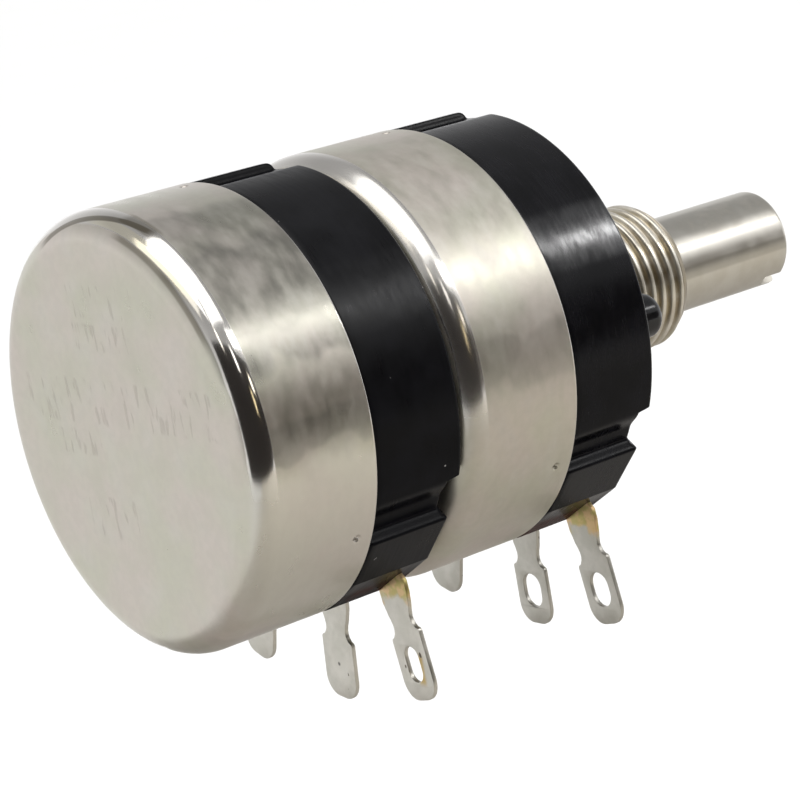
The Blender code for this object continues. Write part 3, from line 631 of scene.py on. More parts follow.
TIN_MIDDLE = (0.53, 0.51, 0.455)
TIN_DULL = (0.47, 0.455, 0.405)
TIN_BRIGHT = (0.59, 0.57, 0.52)
TIN_SPECK = (0.10, 0.08, 0.06)
LUG_SHADE = {"front": 0.86, "rear": 1.04}
FLUX_AMBER = (0.62, 0.42, 0.19)
FLUX_OLIVE = (0.44, 0.36, 0.09)
ROOT_BLACK_SPOT = (0.02, 0.012, 0.01)
OLD_SOLDER = (0.42, 0.28, 0.06)
SOLDER_PINHOLE = (0.06, 0.05, 0.05)
FLUX_Z = (-11.2, -10.6)
ROOT_BLACK_SPOT_Z = (-12.1, -11.95)


def tinned_root(s, tin, waver):
    """Tin with flux at its root: amber on the side lugs, and a near-black spot at the root of the middle
    ones.
    """
    root = s.ramp(s.total(s.z, waver), *FLUX_Z)
    side = s.ramp(s.math("ABSOLUTE", s.x), 1.6, 4.2, 0.12, 0.8)
    flux = s.mix(s.ramp(s.noise(s.place, 1.7, detail=2.0), 0.42, 0.58), FLUX_AMBER, FLUX_OLIVE)
    tin = s.mix(s.product(root, side), tin, flux)
    # Near-black spot at the root of the middle lugs.
    black_spot = s.product(s.ramp(s.total(s.z, s.product(waver, 0.3)), *ROOT_BLACK_SPOT_Z), s.ramp(s.x, -1.7, -1.2),
                      s.ramp(s.x, 1.6, 2.4, 1.0, 0.0))
    return s.mix(black_spot, tin, ROOT_BLACK_SPOT)


def narrowed_rim(s, tin, x, z):
    """Tin with old solder on the outer rim of an eyelet centred at x, z."""
    height = s.math("ABSOLUTE", s.math("SUBTRACT", s.z, z - 0.2))
    rim = s.product(s.ramp(s.x, x - 0.45, x - 0.2, 1.0, 0.0), s.ramp(s.x, x - 1.1, x - 0.75),
                    s.ramp(height, 0.6, 1.1, 0.85, 0.0))
    return s.mix(rim, tin, OLD_SOLDER)


def lug_surface(gang):
    """Tinned lug: pale satin tin, amber flux at the root, old solder in some eyelets, dark specks."""
    middle, dull, bright = [tuple(LUG_SHADE[gang] * tone for tone in colour)
                            for colour in (TIN_MIDDLE, TIN_DULL, TIN_BRIGHT)]
    s = Surface(f"tinned_lug_{gang}", 1.0, 0.36, middle)
    cloud = s.noise(s.place, 0.8, roughness=0.55)
    tin = s.mix(s.ramp(cloud, 0.35, 0.7), dull, bright)
    tin = tinned_root(s, tin, s.product(s.noise(s.place, 1.1, detail=3.0), 2.2))
    if NARROWED_EYELET[0] == gang:
        tin = narrowed_rim(s, tin, *eyelet_centre(*NARROWED_EYELET))
    dimples = 0.0
    for closed_gang, place_name in CLOSED_EYELETS:
        if closed_gang == gang:
            x, z = eyelet_centre(gang, place_name)
            away = s.distance(s.math("SUBTRACT", s.x, x), s.math("SUBTRACT", s.z, z))
            dimples = s.total(dimples, s.ramp(away, 0.3, 1.0, 1.0, 0.0))
            tin = s.mix(s.ramp(away, 0.55, 1.0, 0.35, 0.0), tin, bright)
            tin = s.mix(s.ramp(away, 0.06, 0.16, 0.8, 0.0), tin, SOLDER_PINHOLE)
    s.colour(s.mix(s.ramp(s.noise(s.place, 1.5, detail=1.0), 0.75, 0.77), tin, TIN_SPECK))
    s.roughness(s.ramp(cloud, 0.3, 0.7, 0.36, 0.48))
    s.bump(dimples, -0.06)
    s.bump(s.noise(s.place, 1.6, detail=3.0), 0.012)
    return s.material


# Inner materials: metallic, roughness, two colours, size of the grain, depth of the relief.
INNER_MATERIALS = {
    "spring_steel": (1.0, 0.3, (0.50, 0.49, 0.47), (0.62, 0.61, 0.58), 1.5, 0.004),
    "paper_laminate": (0.0, 0.6, (0.20, 0.10, 0.04), (0.30, 0.17, 0.07), 2.5, 0.02),
    "carbon_film": (0.0, 0.5, (0.010, 0.010, 0.011), (0.03, 0.03, 0.03), 5.0, 0.01),
    "silver_film": (1.0, 0.35, (0.66, 0.65, 0.62), (0.76, 0.75, 0.73), 3.0, 0.005),
    "rotor_moulding": (0.0, 0.5, (0.50, 0.44, 0.31), (0.60, 0.54, 0.41), 1.2, 0.02),
    "spring_bronze": (1.0, 0.3, (0.60, 0.35, 0.17), (0.70, 0.44, 0.24), 1.5, 0.004),
    "rivet_brass": (1.0, 0.32, (0.62, 0.48, 0.22), (0.74, 0.60, 0.32), 2.0, 0.006),
}


def inner_surface(name, metallic, roughness, first, second, scale, depth):
    """A plain working material inside: two tones, uneven gloss and a fine relief."""
    s = Surface(name, metallic, roughness, first)
    grain = s.noise(s.place, scale, detail=6.0, roughness=0.65)
    s.colour(s.mix(s.ramp(grain, 0.35, 0.68), first, second))
    s.roughness(s.ramp(grain, 0.3, 0.7, roughness - 0.06, roughness + 0.08))
    s.bump(grain, depth)
    return s.material


COVER_SURFACES = {gang: nickel_cover_surface(gang) for gang in GANGS}
BASE_SURFACES = {
    "front": phenolic_surface("front", 0.25, 0.19),
    "rear": phenolic_surface("rear", 0.32, 0.15),
}
PEG_SURFACE = phenolic_surface("front", 0.2, 0.5)
LUG_SURFACES = {gang: lug_surface(gang) for gang in GANGS}
MATERIALS = {name: inner_surface(name, *tones) for name, tones in INNER_MATERIALS.items()}
MATERIALS["nickel_cover"] = COVER_SURFACES["rear"]
MATERIALS["black_phenolic"] = BASE_SURFACES["front"]
MATERIALS["shaft_nickel"] = shaft_surface()
MATERIALS["bushing_nickel"] = bushing_surface()
MATERIALS["tinned_brass"] = LUG_SURFACES["front"]


def dress_cad_nodes():
    """Puts a procedural material on every CAD node, by its slot in the record."""
    for subpart in frame["record"]["subparts"]:
        node = frame["nodes"][subpart["node"]]
        node.data.materials.clear()
        node.data.materials.append(MATERIALS[subpart["material_slot"]])


dress_cad_nodes()


def place(piece, slot, body, *nodes):
    """Gives a piece its body and hides the CAD nodes that it stands for; the slot is not used."""
    if nodes:
        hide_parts(*nodes)
    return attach(piece, body)


# ------ covers
COVER_WALL = 0.4
COVER_LIP = 0.14
FRONT_COVER_HOLE = 3.2
PUNCH_ANGLES = (211.0, 91.0, 331.0)
PUNCH_BACK = 1.13
PUNCH_RADIUS = 0.30
PUNCH_DEPTH = 0.22
PUNCH_ZONE = 0.36
PUNCH_SPAN = 2.1


def make_cover(gang):
    """Drawn cup with a rolled rear edge, staked to its base by three punch marks."""
    low, high = [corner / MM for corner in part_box(f"{gang}_cover")]
    radius, open_y, back_y = high.x, low.y, high.y
    punch_y = open_y + PUNCH_BACK
    angles = spread((0.0, 360.0, 1.5), *[(p - PUNCH_SPAN, p + PUNCH_SPAN, 0.15) for p in PUNCH_ANGLES])
    profile = fillet(radius - COVER_LIP, open_y + COVER_LIP, COVER_LIP, -90.0, 0.0, 5)
    profile += [(radius, y) for y in spread((open_y + 0.2, punch_y - PUNCH_ZONE, 0.2),
                                            (punch_y - PUNCH_ZONE, punch_y + PUNCH_ZONE, 0.045),
                                            (punch_y + PUNCH_ZONE + 0.04, back_y - COVER_CORNER, 0.5))]
    profile += fillet(radius - COVER_CORNER, back_y - COVER_CORNER, COVER_CORNER, 0.0, 90.0, 20)
    centre_hole = FRONT_COVER_HOLE if gang == "front" else 0.0
    profile += [(r, back_y) for r in np.linspace(radius - COVER_CORNER - 0.6, centre_hole + 0.2, 14)]
    profile.append((centre_hole, back_y))
    inside = [(centre_hole, back_y - COVER_WALL)]
    inner_corner = COVER_CORNER - COVER_WALL
    inside += reversed(fillet(radius - COVER_CORNER, back_y - COVER_CORNER, inner_corner, 0.0, 90.0, 8))
    inside.append((radius - COVER_WALL, open_y + 0.05))
    outside_count = len(profile)
    rows = []
    for number, (r, y) in enumerate(profile + inside):
        row = np.full(angles.shape, float(r))
        if number < outside_count and abs(y - punch_y) < 2 * PUNCH_RADIUS and r > radius - 0.01:
            for punch in PUNCH_ANGLES:
                across = np.radians((angles - punch + 180.0) % 360.0 - 180.0) * radius
                away = np.hypot(across, y - punch_y)
                row -= PUNCH_DEPTH * (1.0 - ease(away, 0.0, PUNCH_RADIUS))
        rows.append((row, y))
    piece = loft(f"{gang}_cover_shell", rows, angles, COVER_SURFACES[gang], closed=bool(centre_hole))
    return place(piece, "nickel_cover", "housing", f"{gang}_cover")


# ------ moulded bases
RING_RADIUS = 12.17
BLOCK_RADIUS = 12.42
BLOCK_CORNERS = (20.5, 38.5, 54.3)
HOLLOW_RADIUS = 11.72
HOLLOW_OFF = (55.6, 57.4, 63.0, 66.5)
RIM_RADIUS = 10.9
NOTCH_DEPTH = 0.78
BLOCK_STEP = 0.54
BASE_EDGE = 0.22
REAR_EDGE = 0.16
KEY_RADIUS = 12.36
KEY_ANGLES = (78.8, 86.0)
KEY_FLAT = (11.89, 90.5, 97.0)
KEY_FRONT = 0.3
KEY_END_ROUNDING = 0.55
SPIGOT_RADIUS = 11.8
SPIGOT_LENGTH = 1.5
SPIGOT_GAP = 0.05
POCKET_RADIUS = 10.5
FLOOR_Y = 1.65
COUNTERBORE_DEPTH = 0.4
BUSHING_HOLE = (4.1, 4.65)
SHAFT_HOLE = (2.05, 0.0)
RIDGE_SPAN = (52.0, 70.0)


def block_radius(off):
    """Radius of the solder block's flat facets, by angle off the lug side."""
    corners = (-BLOCK_CORNERS[0], *BLOCK_CORNERS)
    radius = np.full(off.shape, BLOCK_RADIUS)
    for start, end in zip(corners, corners[1:]):
        half = (end - start) / 2
        facet = BLOCK_RADIUS * cos(radians(half)) / np.cos(np.radians(off - start - half))
        inside = (off >= start) & (off <= end)
        radius = np.where(inside, facet, radius)
    return radius


def base_radius(angles):
    """Outline of a base: ring, solder block, hollow beside each ridge, key rib and its flat."""
    off = np.abs(off_lug_side(angles))
    ring = np.full(off.shape, RING_RADIUS)
    ridge_out, hollow_start, hollow_end, ring_start = HOLLOW_OFF
    hollow = ring + (HOLLOW_RADIUS - RING_RADIUS) * (1.0 - ease(off, hollow_end - 3.0, ring_start))
    wall = ease(off, BLOCK_CORNERS[2] + 0.2, ridge_out + 0.6)
    beside = block_radius(np.minimum(off, BLOCK_CORNERS[2])) * (1.0 - wall) + hollow * wall
    radius = np.where(off < ring_start, beside, ring)
    radius = np.where(off <= BLOCK_CORNERS[2], block_radius(off), radius)
    flat_radius, flat_start, flat_end = KEY_FLAT
    flat = (1.0 - ease(angles, flat_start, flat_end)) * ease(angles, KEY_ANGLES[0] - 1.0, KEY_ANGLES[0])
    return radius + (flat_radius - RING_RADIUS) * flat


def key_height(angles, y):
    """How far the key rib stands above the outline; its front end is rounded."""
    across = ease(angles, KEY_ANGLES[0] - 0.4, KEY_ANGLES[0] + 0.4) * (
        1.0 - ease(angles, KEY_ANGLES[1] - 0.4, KEY_ANGLES[1] + 0.4))
    start = np.clip((y - KEY_FRONT) / KEY_END_ROUNDING, 0.0, 1.0)
    return (KEY_RADIUS - base_radius(angles)) * across * np.sqrt(1.0 - (1.0 - start) ** 2)


def face_step(angles):
    """How far the rim of the front face stands back: block step, and a deeper notch beside it."""
    off = np.abs(off_lug_side(angles))
    block = BLOCK_STEP * (1.0 - ease(off, BLOCK_CORNERS[2] + 0.2, BLOCK_CORNERS[2] + 1.0))
    notch = NOTCH_DEPTH * ease(off, BLOCK_CORNERS[2] + 0.2, BLOCK_CORNERS[2] + 1.0) * (
        1.0 - ease(off, HOLLOW_OFF[3] - 0.5, HOLLOW_OFF[3] + 0.3))
    return block + notch


def base_angles():
    """Angles at which a base is sampled: closer together at its corners, ridges and key rib."""
    corners = [LUG_SIDE + side * off for side in (-1.0, 1.0) for off in BLOCK_CORNERS[:2]]
    fine = [(turn - 2.0, turn + 2.0, 0.2) for turn in (*KEY_ANGLES, *corners)]
    near, far = RIDGE_SPAN
    fine += [(LUG_SIDE - far, LUG_SIDE - near, 0.25), (LUG_SIDE + near, LUG_SIDE + far, 0.25)]
    return spread((0.0, 360.0, 1.0), *fine)


def front_rows(hole_radius, counterbore, step):
    """Rows of a base's front face, from its floor out through the hole to the rim."""
    rows = [(hole_radius, FLOOR_Y)]
    if counterbore:
        rows += [(hole_radius, COUNTERBORE_DEPTH), (counterbore - 0.05, COUNTERBORE_DEPTH)]
        rows += [(counterbore, COUNTERBORE_DEPTH - 0.05), (counterbore, 0.06), (counterbore + 0.06, 0.0)]
    else:
        rows += [(hole_radius, 0.1), (hole_radius + 0.1, 0.0)]
    rows += [(r, 0.0) for r in np.linspace(rows[-1][0] + 0.4, RIM_RADIUS - 0.15, 8)]
    rows += [(r, step * ease(r, RIM_RADIUS - 0.08, RIM_RADIUS + 0.08))
             for r in np.arange(RIM_RADIUS - 0.1, RIM_RADIUS + 0.16, 0.04)]
    return rows


def side_rows(angles, step):
    """Rows of a base's side, from the rim of its front face to its rear edge."""
    outline = base_radius(angles)
    edge_r = outline - BASE_EDGE
    rim_end = RIM_RADIUS + 0.16
    rows = [(rim_end + share * (edge_r - rim_end), step) for share in (0.35, 0.75)]
    rows += [(edge_r + BASE_EDGE * cos(turn), step + BASE_EDGE + BASE_EDGE * sin(turn))
             for turn in np.radians(np.linspace(-90.0, 0.0, 7))]
    side_start = step + BASE_EDGE
    for share in (0.08, 0.16, 0.26, 0.38, 0.52, 0.7, 0.85, 1.0):
        y = side_start + share * (1.3 - side_start)
        rows.append((outline + key_height(angles, y), y))
    full = outline + key_height(angles, BASE_LENGTH)
    rows += [(full, y) for y in (1.8, 2.3, 3.0, 3.8, 4.6, 5.3)]
    rows += [(full - REAR_EDGE + REAR_EDGE * cos(turn), BASE_LENGTH - REAR_EDGE + REAR_EDGE * sin(turn))
             for turn in np.radians(np.linspace(0.0, 90.0, 4))]
    return rows


def spigot_rows(hole_radius):
    """Rows of a base's spigot and of the pocket inside it."""
    end = BASE_LENGTH + SPIGOT_LENGTH
    radius = SPIGOT_RADIUS - SPIGOT_GAP
    rows = [(radius, BASE_LENGTH), (radius, end - 0.1), (radius - 0.1, end), (POCKET_RADIUS + 0.1, end)]
    rows += [(POCKET_RADIUS, end - 0.1), (POCKET_RADIUS, FLOOR_Y + 0.1), (POCKET_RADIUS - 0.1, FLOOR_Y)]
    return rows + [(r, FLOOR_Y) for r in (8.0, hole_radius + 0.5)]


def make_base(gang, hole_radius, counterbore):
    """Moulded base; a counterbore of 0 means a plain hole."""
    angles = base_angles()
    step = face_step(angles)
    rows = front_rows(hole_radius, counterbore, step) + side_rows(angles, step) + spigot_rows(hole_radius)
    rows = [(radius, y + base_face_y(gang)) for radius, y in rows]
    piece = loft(f"{gang}_base_moulding", rows, angles, BASE_SURFACES[gang], smooth=50.0)
    return place(piece, "black_phenolic", "housing", f"{gang}_base")


PEG_RADIUS = 1.3
PEG_OFFSET = 9.8
PEG_ROUNDING = 0.75


def make_peg():
    """Anti-rotation peg: a round pin of the moulding with a domed end."""
    end_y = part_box("front_base")[0].y / MM
    rows = [(0.0, 0.3), (PEG_RADIUS, 0.3), (PEG_RADIUS + 0.12, 0.0), (PEG_RADIUS, -0.14)]
    rows += [(PEG_RADIUS, y) for y in np.linspace(-0.4, end_y + PEG_ROUNDING, 5)]
    rows += reversed(fillet(PEG_RADIUS - PEG_ROUNDING, end_y + PEG_ROUNDING, PEG_ROUNDING, -85.0, -10.0, 7))
    rows.append((0.0, end_y))
    piece = loft("anti_rotation_peg", rows, np.arange(0.0, 360.0, 7.5), PEG_SURFACE, closed=False)
    piece.data.transform(Matrix.Translation((-PEG_OFFSET * MM, 0.0, 0.0)))
    return place(piece, "black_phenolic", "housing")


# ------ bushing and shaft
# Length and depth of the chamfer.
NOSE_CHAMFER = (0.75, 0.47)
# Radius of the ring's recess, and the y of its floor.
CLIP_RECESS = (3.68, -9.75)
THREAD_PITCH = 0.75
THREAD_CUTS_IN = (0.3, 0.75)
THREAD_RUNS_OUT = (-1.6, -1.0)
NECK_START = -0.9
FLANGE_START = 1.58
FLANGE_END = 1.95
BORE_RADIUS = 3.05


def thread_height(angles, y, start_y):
    """0 at the root and 1 at the crest of a right-handed thread."""
    phase = ((y - start_y) / THREAD_PITCH + np.asarray(angles) / 360.0) % 1.0
    climb = 1.0 - np.abs(2.0 * phase - 1.0)
    return ease(climb, 0.1, 0.8)


def make_bushing():
    """Threaded bushing with a chamfered, recessed nose, a plain neck and a flange inside the base."""
    low, high = [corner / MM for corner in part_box("threaded_bushing")]
    nose = low.y
    flange_radius = high.x
    angles = np.arange(0.0, 360.0, 2.0)
    root = THREAD_RADIUS - THREAD_DEPTH
    chamfer_length, chamfer_depth = NOSE_CHAMFER
    rows = [(CLIP_RECESS[0] + 0.05, nose), (THREAD_RADIUS - chamfer_depth - 0.08, nose)]
    for y in np.arange(nose + 0.03, NECK_START, THREAD_PITCH / 20):
        limit = THREAD_RADIUS - chamfer_depth * (1.0 - np.clip((y - nose) / chamfer_length, 0.0, 1.0))
        cut_in = ease(y - nose, *THREAD_CUTS_IN)
        height = thread_height(angles, y, nose) * (1.0 - ease(y, *THREAD_RUNS_OUT)) * cut_in
        plain = (1.0 - cut_in) * 0.8
        rows.append((np.minimum(root + THREAD_DEPTH * np.maximum(height, plain), limit), y))
    rows += [(root, NECK_START + 0.1), (root, FLANGE_START - 0.01), (flange_radius - 0.1, FLANGE_START)]
    rows += [(flange_radius, FLANGE_START + 0.08), (flange_radius, FLANGE_END)]
    rows += [(flange_radius - 0.2, high.y), (BORE_RADIUS + 0.05, high.y), (BORE_RADIUS, high.y - 0.05)]
    rows += [(BORE_RADIUS, CLIP_RECESS[1]), CLIP_RECESS, (CLIP_RECESS[0], nose + 0.05)]
    piece = loft("threaded_bushing_body", rows, angles, MATERIALS["bushing_nickel"], smooth=60.0)
    return place(piece, "bushing_nickel", "housing", "threaded_bushing")


SLOT_WIDTH = 1.1
SLOT_DEPTH = 1.55
SLOT_ANGLE = 235.5
END_ROUNDING = 0.32
# Start, end and radius.
CLIP_GROOVE = (-10.31, -9.75, 2.3)
COLLAR = (2.36, 3.06, 4.4)
DRIVE_RADII = (2.4, 2.0)
DRIVE_STEP = (8.0, 8.4)


def make_shaft():
    """Shaft with a rounded, slotted end, a ring groove, a collar and stepped drive end."""
    low, high = [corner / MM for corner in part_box("shaft")]
    end, rear = low.y, high.y
    groove_start, groove_end, groove_radius = CLIP_GROOVE
    collar_start, collar_end, collar_radius = COLLAR
    rows = [(0.0, end), (1.2, end), (2.2, end), (SHAFT_RADIUS - END_ROUNDING - 0.02, end)]
    rows += fillet(SHAFT_RADIUS - END_ROUNDING, end + END_ROUNDING, END_ROUNDING, -80.0, 0.0, 5)
    rows += [(SHAFT_RADIUS, y) for y in np.linspace(end + 0.6, groove_start, 12)]
    rows += [(groove_radius, groove_start), (groove_radius, groove_end), (SHAFT_RADIUS, groove_end)]
    rows += [(SHAFT_RADIUS, y) for y in np.linspace(groove_end + 0.5, collar_start, 8)]
    rows += [(collar_radius, collar_start), (collar_radius, collar_end), (DRIVE_RADII[0], collar_end)]
    rows += zip(DRIVE_RADII, DRIVE_STEP)
    rows += [(DRIVE_RADII[1], rear - 0.3), (DRIVE_RADII[1] - 0.3, rear), (0.0, rear)]
    piece = loft("shaft_turned", rows, np.arange(0.0, 360.0, 3.0), MATERIALS["shaft_nickel"], closed=False)
    half = SLOT_WIDTH / 2
    reach = SHAFT_RADIUS + 1.0
    across = [(-reach, -half), (reach, -half), (reach, half), (-reach, half)]
    turn = radians(SLOT_ANGLE)
    outline = [(x * cos(turn) - z * sin(turn), x * sin(turn) + z * cos(turn)) for x, z in across]
    cut(piece, prism("slot_cutter", outline, end - 1.0, end + SLOT_DEPTH, MATERIALS["shaft_nickel"]))
    piece.data.shade_smooth()
    piece.data.set_sharp_from_angle(angle=radians(35.0))
    return place(piece, "shaft_nickel", "shaft_assembly", "shaft")


# ------ solder lugs
# Half widths of the root, the neck and the blade.
LUG_HALF_WIDTHS = (1.32, 0.92, 1.43)
LUG_EDGE = 0.05
SHOULDER_UP = 3.65
OUTER_SHOULDER_RISE = 0.5
TERMINAL_EYE = 1.15
TIP_CORNER = (1.08, 1.2)


def lug_half(length, shoulder):
    """One side of a lug, from its root down to the tip."""
    root, neck, blade = LUG_HALF_WIDTHS
    tip = 0.01 - length
    half = [(root, 0.0), (root - 0.02, shoulder + 2.1), (root - 0.1, shoulder + 1.8)]
    half += [(neck + 0.2, shoulder + 1.35), (neck + 0.07, shoulder + 1.0), (neck, shoulder + 0.7)]
    half += [(neck + 0.01, shoulder + 0.5), (neck + 0.08, shoulder + 0.28), (blade - 0.27, shoulder + 0.07)]
    half += [(blade - 0.1, shoulder), (blade - 0.02, shoulder - 0.08), (blade, shoulder - 0.2)]
    half.append((blade, tip + 1.6))
    wide, high = TIP_CORNER
    for turn in np.radians(np.linspace(0.0, 90.0, 12)):
        half.append((blade - wide + wide * cos(turn), tip + high - high * sin(turn)))
    return half


def oblong(half_width, straight, middle, steps=14):
    """Outline of an upright hole with round ends; straight is half the length of its sides."""
    ends = ((0.0, pi, straight), (pi, 2 * pi, -straight))
    return [(half_width * cos(t), middle + lift + half_width * sin(t))
            for start, end, lift in ends for t in np.linspace(start, end, steps)]


def make_lug(gang, place_name):
    """Solder lug with a waist, a rounded tip and an eyelet, on the eye that its rivet holds."""
    node = f"{gang}_terminal_{place_name}"
    low, high = [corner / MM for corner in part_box(node)]
    root, fan, length, eye = lug_frame(gang, place_name)
    c, s = cos(radians(fan)), sin(radians(fan))

    def placed(points):
        return [(root[0] + x * c - z * s, root[1] + x * s + z * c) for x, z in points]

    shoulder = SHOULDER_UP - length
    right_rise = OUTER_SHOULDER_RISE if place_name == "right" else 0.0
    left_rise = OUTER_SHOULDER_RISE if place_name == "left" else 0.0
    right = lug_half(length, shoulder + right_rise)
    left = lug_half(length, shoulder + left_rise)
    outline = placed(right + [(-x, z) for x, z in reversed(left)])
    heading = atan2(root[1] - eye[1], root[0] - eye[0])
    turns = np.linspace(heading - radians(92.0), heading - radians(268.0), 14)
    outline += [(eye[0] + TERMINAL_EYE * cos(t), eye[1] + TERMINAL_EYE * sin(t)) for t in turns]
    half_width, straight = NARROWED_SIZE if (gang, place_name) == NARROWED_EYELET else EYELET_SIZE
    hole = placed(oblong(half_width, straight, EYELET_UP - length))
    holes = [] if (gang, place_name) in CLOSED_EYELETS else [hole]
    piece = prism(f"{gang}_lug_{place_name}", outline, low.y, high.y, LUG_SURFACES[gang], holes, LUG_EDGE)
    place(piece, "tinned_brass", "housing", node)


# ------ build the pieces
for gang in GANGS:
    make_cover(gang)
    for place_name in PLACES:
        make_lug(gang, place_name)
make_base("front", *BUSHING_HOLE)
make_base("rear", *SHAFT_HOLE)
make_peg()
make_bushing()
make_shaft()


# ------ studio
FLOOR_DROP = 45.0
FLOOR_HALF_SIZE = 4000.0
VIEW = direction(CAMERA_AZIMUTH, CAMERA_ELEVATION)
# Brightness of the surroundings, by height above the horizon.
SKY_LEVELS = ((0.0, 1.20), (0.08, 1.15), (0.30, 0.90), (0.47, 0.74), (0.70, 0.50), (1.0, 0.50))
WHITE = (1.0, 1.0, 1.0)
KEY_TURN = 138.0
KEY_DISTANCE = 300.0
KEY_SIZE = (36.0, 360.0)
KEY_RADIANCE = 9.8
FLAG_TURN = 181.0
FLAG_DISTANCE = 180.0
FLAG_SIZE = (105.0, 420.0)
FLAG_GREY = (0.10, 0.09, 0.08)
TABLE_PLACE = (-40.0, -80.0)
TABLE_DROP = 42.0
TABLE_SIZE = (240.0, 320.0)
# Tones of the table card: the pale floor beneath, fading to a darker tone that is a painted shadow of the
# object.
TABLE_AND_SHADOW_TONES = ((0.72, 0.68, 0.60), (0.34, 0.32, 0.30))
ROOM_DIRECTION = Vector((-0.93, 0.35, 0.10)).normalized()
ROOM_DISTANCE = 140.0
ROOM_SIZE = (250.0, 170.0)
ROOM_BLACK = (0.008, 0.005, 0.004)
# The rod and the lamps stand where the rolled edge mirrors them: angle round the shaft, rise.
EDGE_DISTANCE = 115.0
ROD_SEEN_AT = (141.5, 29.0)
ROD_SIZE = (5.0, 36.0)
ROD_BROWN = (0.03, 0.02, 0.017)
# Lamps: angle, rise, size, radiance, colour.
GLINTS = (
    (149.0, 30.0, (6.0, 24.0), 5.0, (1.0, 0.96, 0.88)),
    (155.5, 19.0, (8.0, 26.0), 5.0, (1.0, 0.98, 0.95)),
    (162.5, 7.0, (9.0, 18.0), 5.0, (1.0, 0.93, 0.80)),
    (167.0, 12.0, (7.0, 26.0), 3.0, (0.9, 0.75, 0.45)),
)
TOP_PLACE = (-115.0, 50.0, 500.0)
TOP_SIZE = (550.0, 480.0)
TOP_RADIANCE = 2.0
CREAM_DIRECTION = direction(175.0, 56.0)
CREAM_DISTANCE = 500.0
CREAM_SIZE = (420.0, 170.0)
CREAM_RADIANCE = 1.15
CREAM_COLOUR = (1.0, 0.96, 0.86)
SUN_DIRECTION = Vector((0.55, -0.45, 0.9))
SUN_ENERGY = 2.2
SUN_WIDTH = 60.0


def across_shaft(turn, distance):
    """Point that the round sides mirror at a given angle round the shaft, at a distance from it."""
    flat = (VIEW.x ** 2 + VIEW.z ** 2) ** 0.5
    along = -VIEW.y / flat
    swing = radians(turn)
    return Vector((cos(swing), along, sin(swing))) * distance * MM


def facing(aim):
    """Rotation of a card or lamp that stands in a direction and looks back along it."""
    return aim.to_track_quat("Z", "Y")


def facing_shaft(turn):
    """Rotation of a card whose long side is parallel to the shaft and whose face looks at it."""
    inwards = Vector((-cos(radians(turn)), 0.0, -sin(radians(turn))))
    along = Vector((0.0, 1.0, 0.0))
    return Matrix((along.cross(-inwards), along, -inwards)).transposed().to_quaternion()


def mirrored_at(turn, rise):
    """Place that the rear cover's rolled edge mirrors at an angle round the shaft, and its direction."""
    t, b = radians(turn), radians(rise)
    normal = Vector((cos(b) * cos(t), sin(b), cos(b) * sin(t)))
    corner_ring = COVER_RADIUS - COVER_CORNER
    middle = Vector((corner_ring * cos(t), 0.0, corner_ring * sin(t))) * MM
    middle.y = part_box("rear_cover")[1].y - COVER_CORNER * MM
    ray = 2.0 * normal.dot(VIEW) * normal - VIEW
    return middle + (normal * COVER_CORNER + ray * EDGE_DISTANCE) * MM, ray


def add_floor():
    bm = bmesh.new()
    bmesh.ops.create_grid(bm, x_segments=8, y_segments=8, size=FLOOR_HALF_SIZE)
    s = Surface("pale_floor", 0.0, 0.7, WHITE)
    s.colour(s.mix(s.noise(s.place, 0.02, detail=3.0), (0.88, 0.88, 0.87), (0.86, 0.86, 0.85)))
    floor = finish_mesh("floor", bm, s.material)
    floor.location.z = cad_box[0].z - FLOOR_DROP * MM


def add_card(name, size, rotation, location, first, second=None):
    """Card of one tone, or of two that fade across it. Shiny surfaces mirror it; nothing else sees it."""
    bm = bmesh.new()
    bmesh.ops.create_grid(bm, x_segments=4, y_segments=4, size=0.5)
    bmesh.ops.scale(bm, vec=Vector((*size, 1.0)), verts=bm.verts)
    s = Surface(name, 0.0, 0.8, first)
    s.colour(s.mix(s.ramp(s.x, -0.5 * size[0], 0.5 * size[0]), first, second or first))
    card = finish_mesh(name, bm, s.material)
    card.rotation_mode = "QUATERNION"
    card.rotation_quaternion = rotation
    card.location = location
    card.visible_camera = False
    card.visible_diffuse = False
    card.visible_shadow = False


def add_light(name, kind, rotation, location=(0.0, 0.0, 0.0)):
    light = bpy.data.objects.new(name, bpy.data.lights.new(name, kind))
    bpy.context.scene.collection.objects.link(light)
    light.rotation_mode = "QUATERNION"
    light.rotation_quaternion = rotation
    light.location = location
    return light


def add_softbox(name, size, radiance, rotation, location, colour=WHITE, shape="RECTANGLE",
                lights_matt=False):
    """Lamp of an even radiance. Unless it lights matt surfaces, it shows only in the shiny ones."""
    light = add_light(name, "AREA", rotation, location)
    light.visible_diffuse = lights_matt
    light.data.shape = shape
    light.data.size = size[0] * MM
    light.data.size_y = size[1] * MM
    area = light.data.size * light.data.size_y * (pi / 4.0 if shape == "ELLIPSE" else 1.0)
    light.data.energy = radiance * pi * area
    light.data.color = colour


def add_floor_light():
    """Wide overhead light for the floor; it has no mirror image in the metal."""
    light = add_light("floor_light", "SUN", facing(SUN_DIRECTION))
    light.data.energy = SUN_ENERGY
    light.data.angle = radians(SUN_WIDTH)
    light.visible_glossy = False


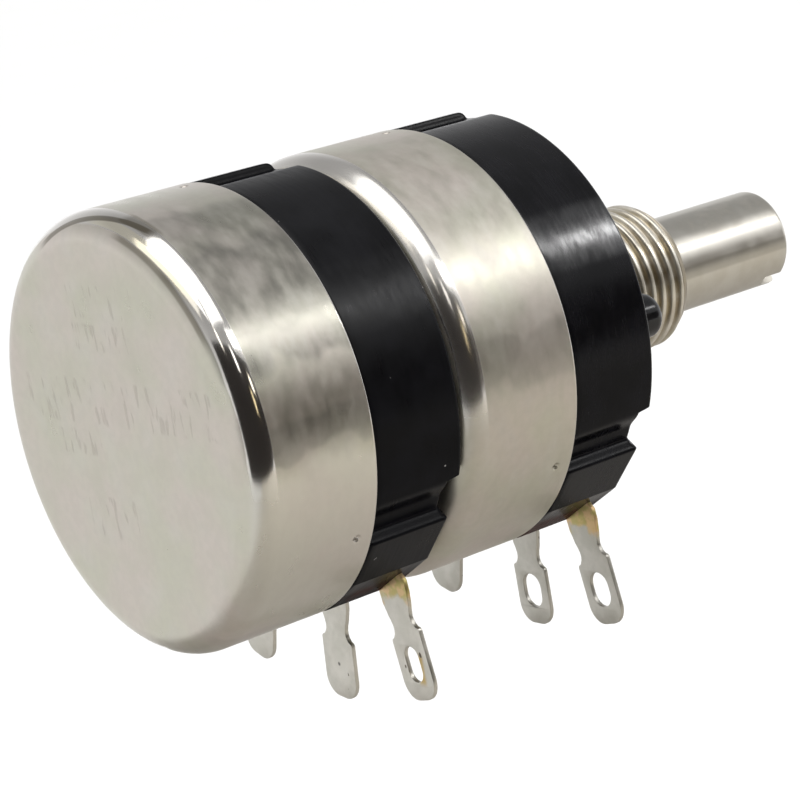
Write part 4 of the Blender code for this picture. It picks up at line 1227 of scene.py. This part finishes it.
def add_world():
    """White horizon that falls off to a grey ceiling."""
    world = bpy.data.worlds.new("studio")
    bpy.context.scene.world = world
    world.use_nodes = True
    nodes, links = world.node_tree.nodes, world.node_tree.links
    aim = nodes.new("ShaderNodeTexCoord")
    parts = nodes.new("ShaderNodeSeparateXYZ")
    ramp = nodes.new("ShaderNodeValToRGB")
    links.new(aim.outputs["Generated"], parts.inputs[0])
    links.new(parts.outputs["Z"], ramp.inputs["Fac"])
    links.new(ramp.outputs["Color"], nodes["Background"].inputs["Color"])
    for number, (height, level) in enumerate(SKY_LEVELS):
        stop = ramp.color_ramp.elements[number] if number < 2 else ramp.color_ramp.elements.new(height)
        stop.position = height
        stop.color = (level, level, level * 1.01, 1.0)


centre = (cad_box[0] + cad_box[1]) / 2
centre.x = centre.z = 0.0
add_floor()
add_world()
add_floor_light()
add_softbox("key_softbox", KEY_SIZE, KEY_RADIANCE, facing_shaft(KEY_TURN),
            centre + across_shaft(KEY_TURN, KEY_DISTANCE), lights_matt=True)
add_card("side_flag", FLAG_SIZE, facing_shaft(FLAG_TURN), centre + across_shaft(FLAG_TURN, FLAG_DISTANCE),
         FLAG_GREY)
# Card under the object that only shiny surfaces see: the floor fading into a painted shadow of the object.
table_place = Vector((*TABLE_PLACE, -TABLE_DROP)) * MM
table_place.z += cad_box[0].z
add_card("table_shadow_card", TABLE_SIZE, Quaternion(), table_place, *TABLE_AND_SHADOW_TONES)
add_card("dark_room", ROOM_SIZE, facing(ROOM_DIRECTION),
         centre + ROOM_DIRECTION * ROOM_DISTANCE * MM, ROOM_BLACK)
rod_place, rod_ray = mirrored_at(*ROD_SEEN_AT)
add_card("dark_rod", ROD_SIZE, facing(rod_ray), rod_place, ROD_BROWN)
for turn, rise, size, radiance, colour in GLINTS:
    lamp_place, lamp_ray = mirrored_at(turn, rise)
    add_softbox("glint", size, radiance, facing(lamp_ray), lamp_place, colour, shape="ELLIPSE")
add_softbox("top_softbox", TOP_SIZE, TOP_RADIANCE, Quaternion(), centre + Vector(TOP_PLACE) * MM)
add_softbox("cream_softbox", CREAM_SIZE, CREAM_RADIANCE, facing(CREAM_DIRECTION),
            centre + CREAM_DIRECTION * CREAM_DISTANCE * MM, CREAM_COLOUR)

bpy.context.scene.view_settings.view_transform = "Standard"
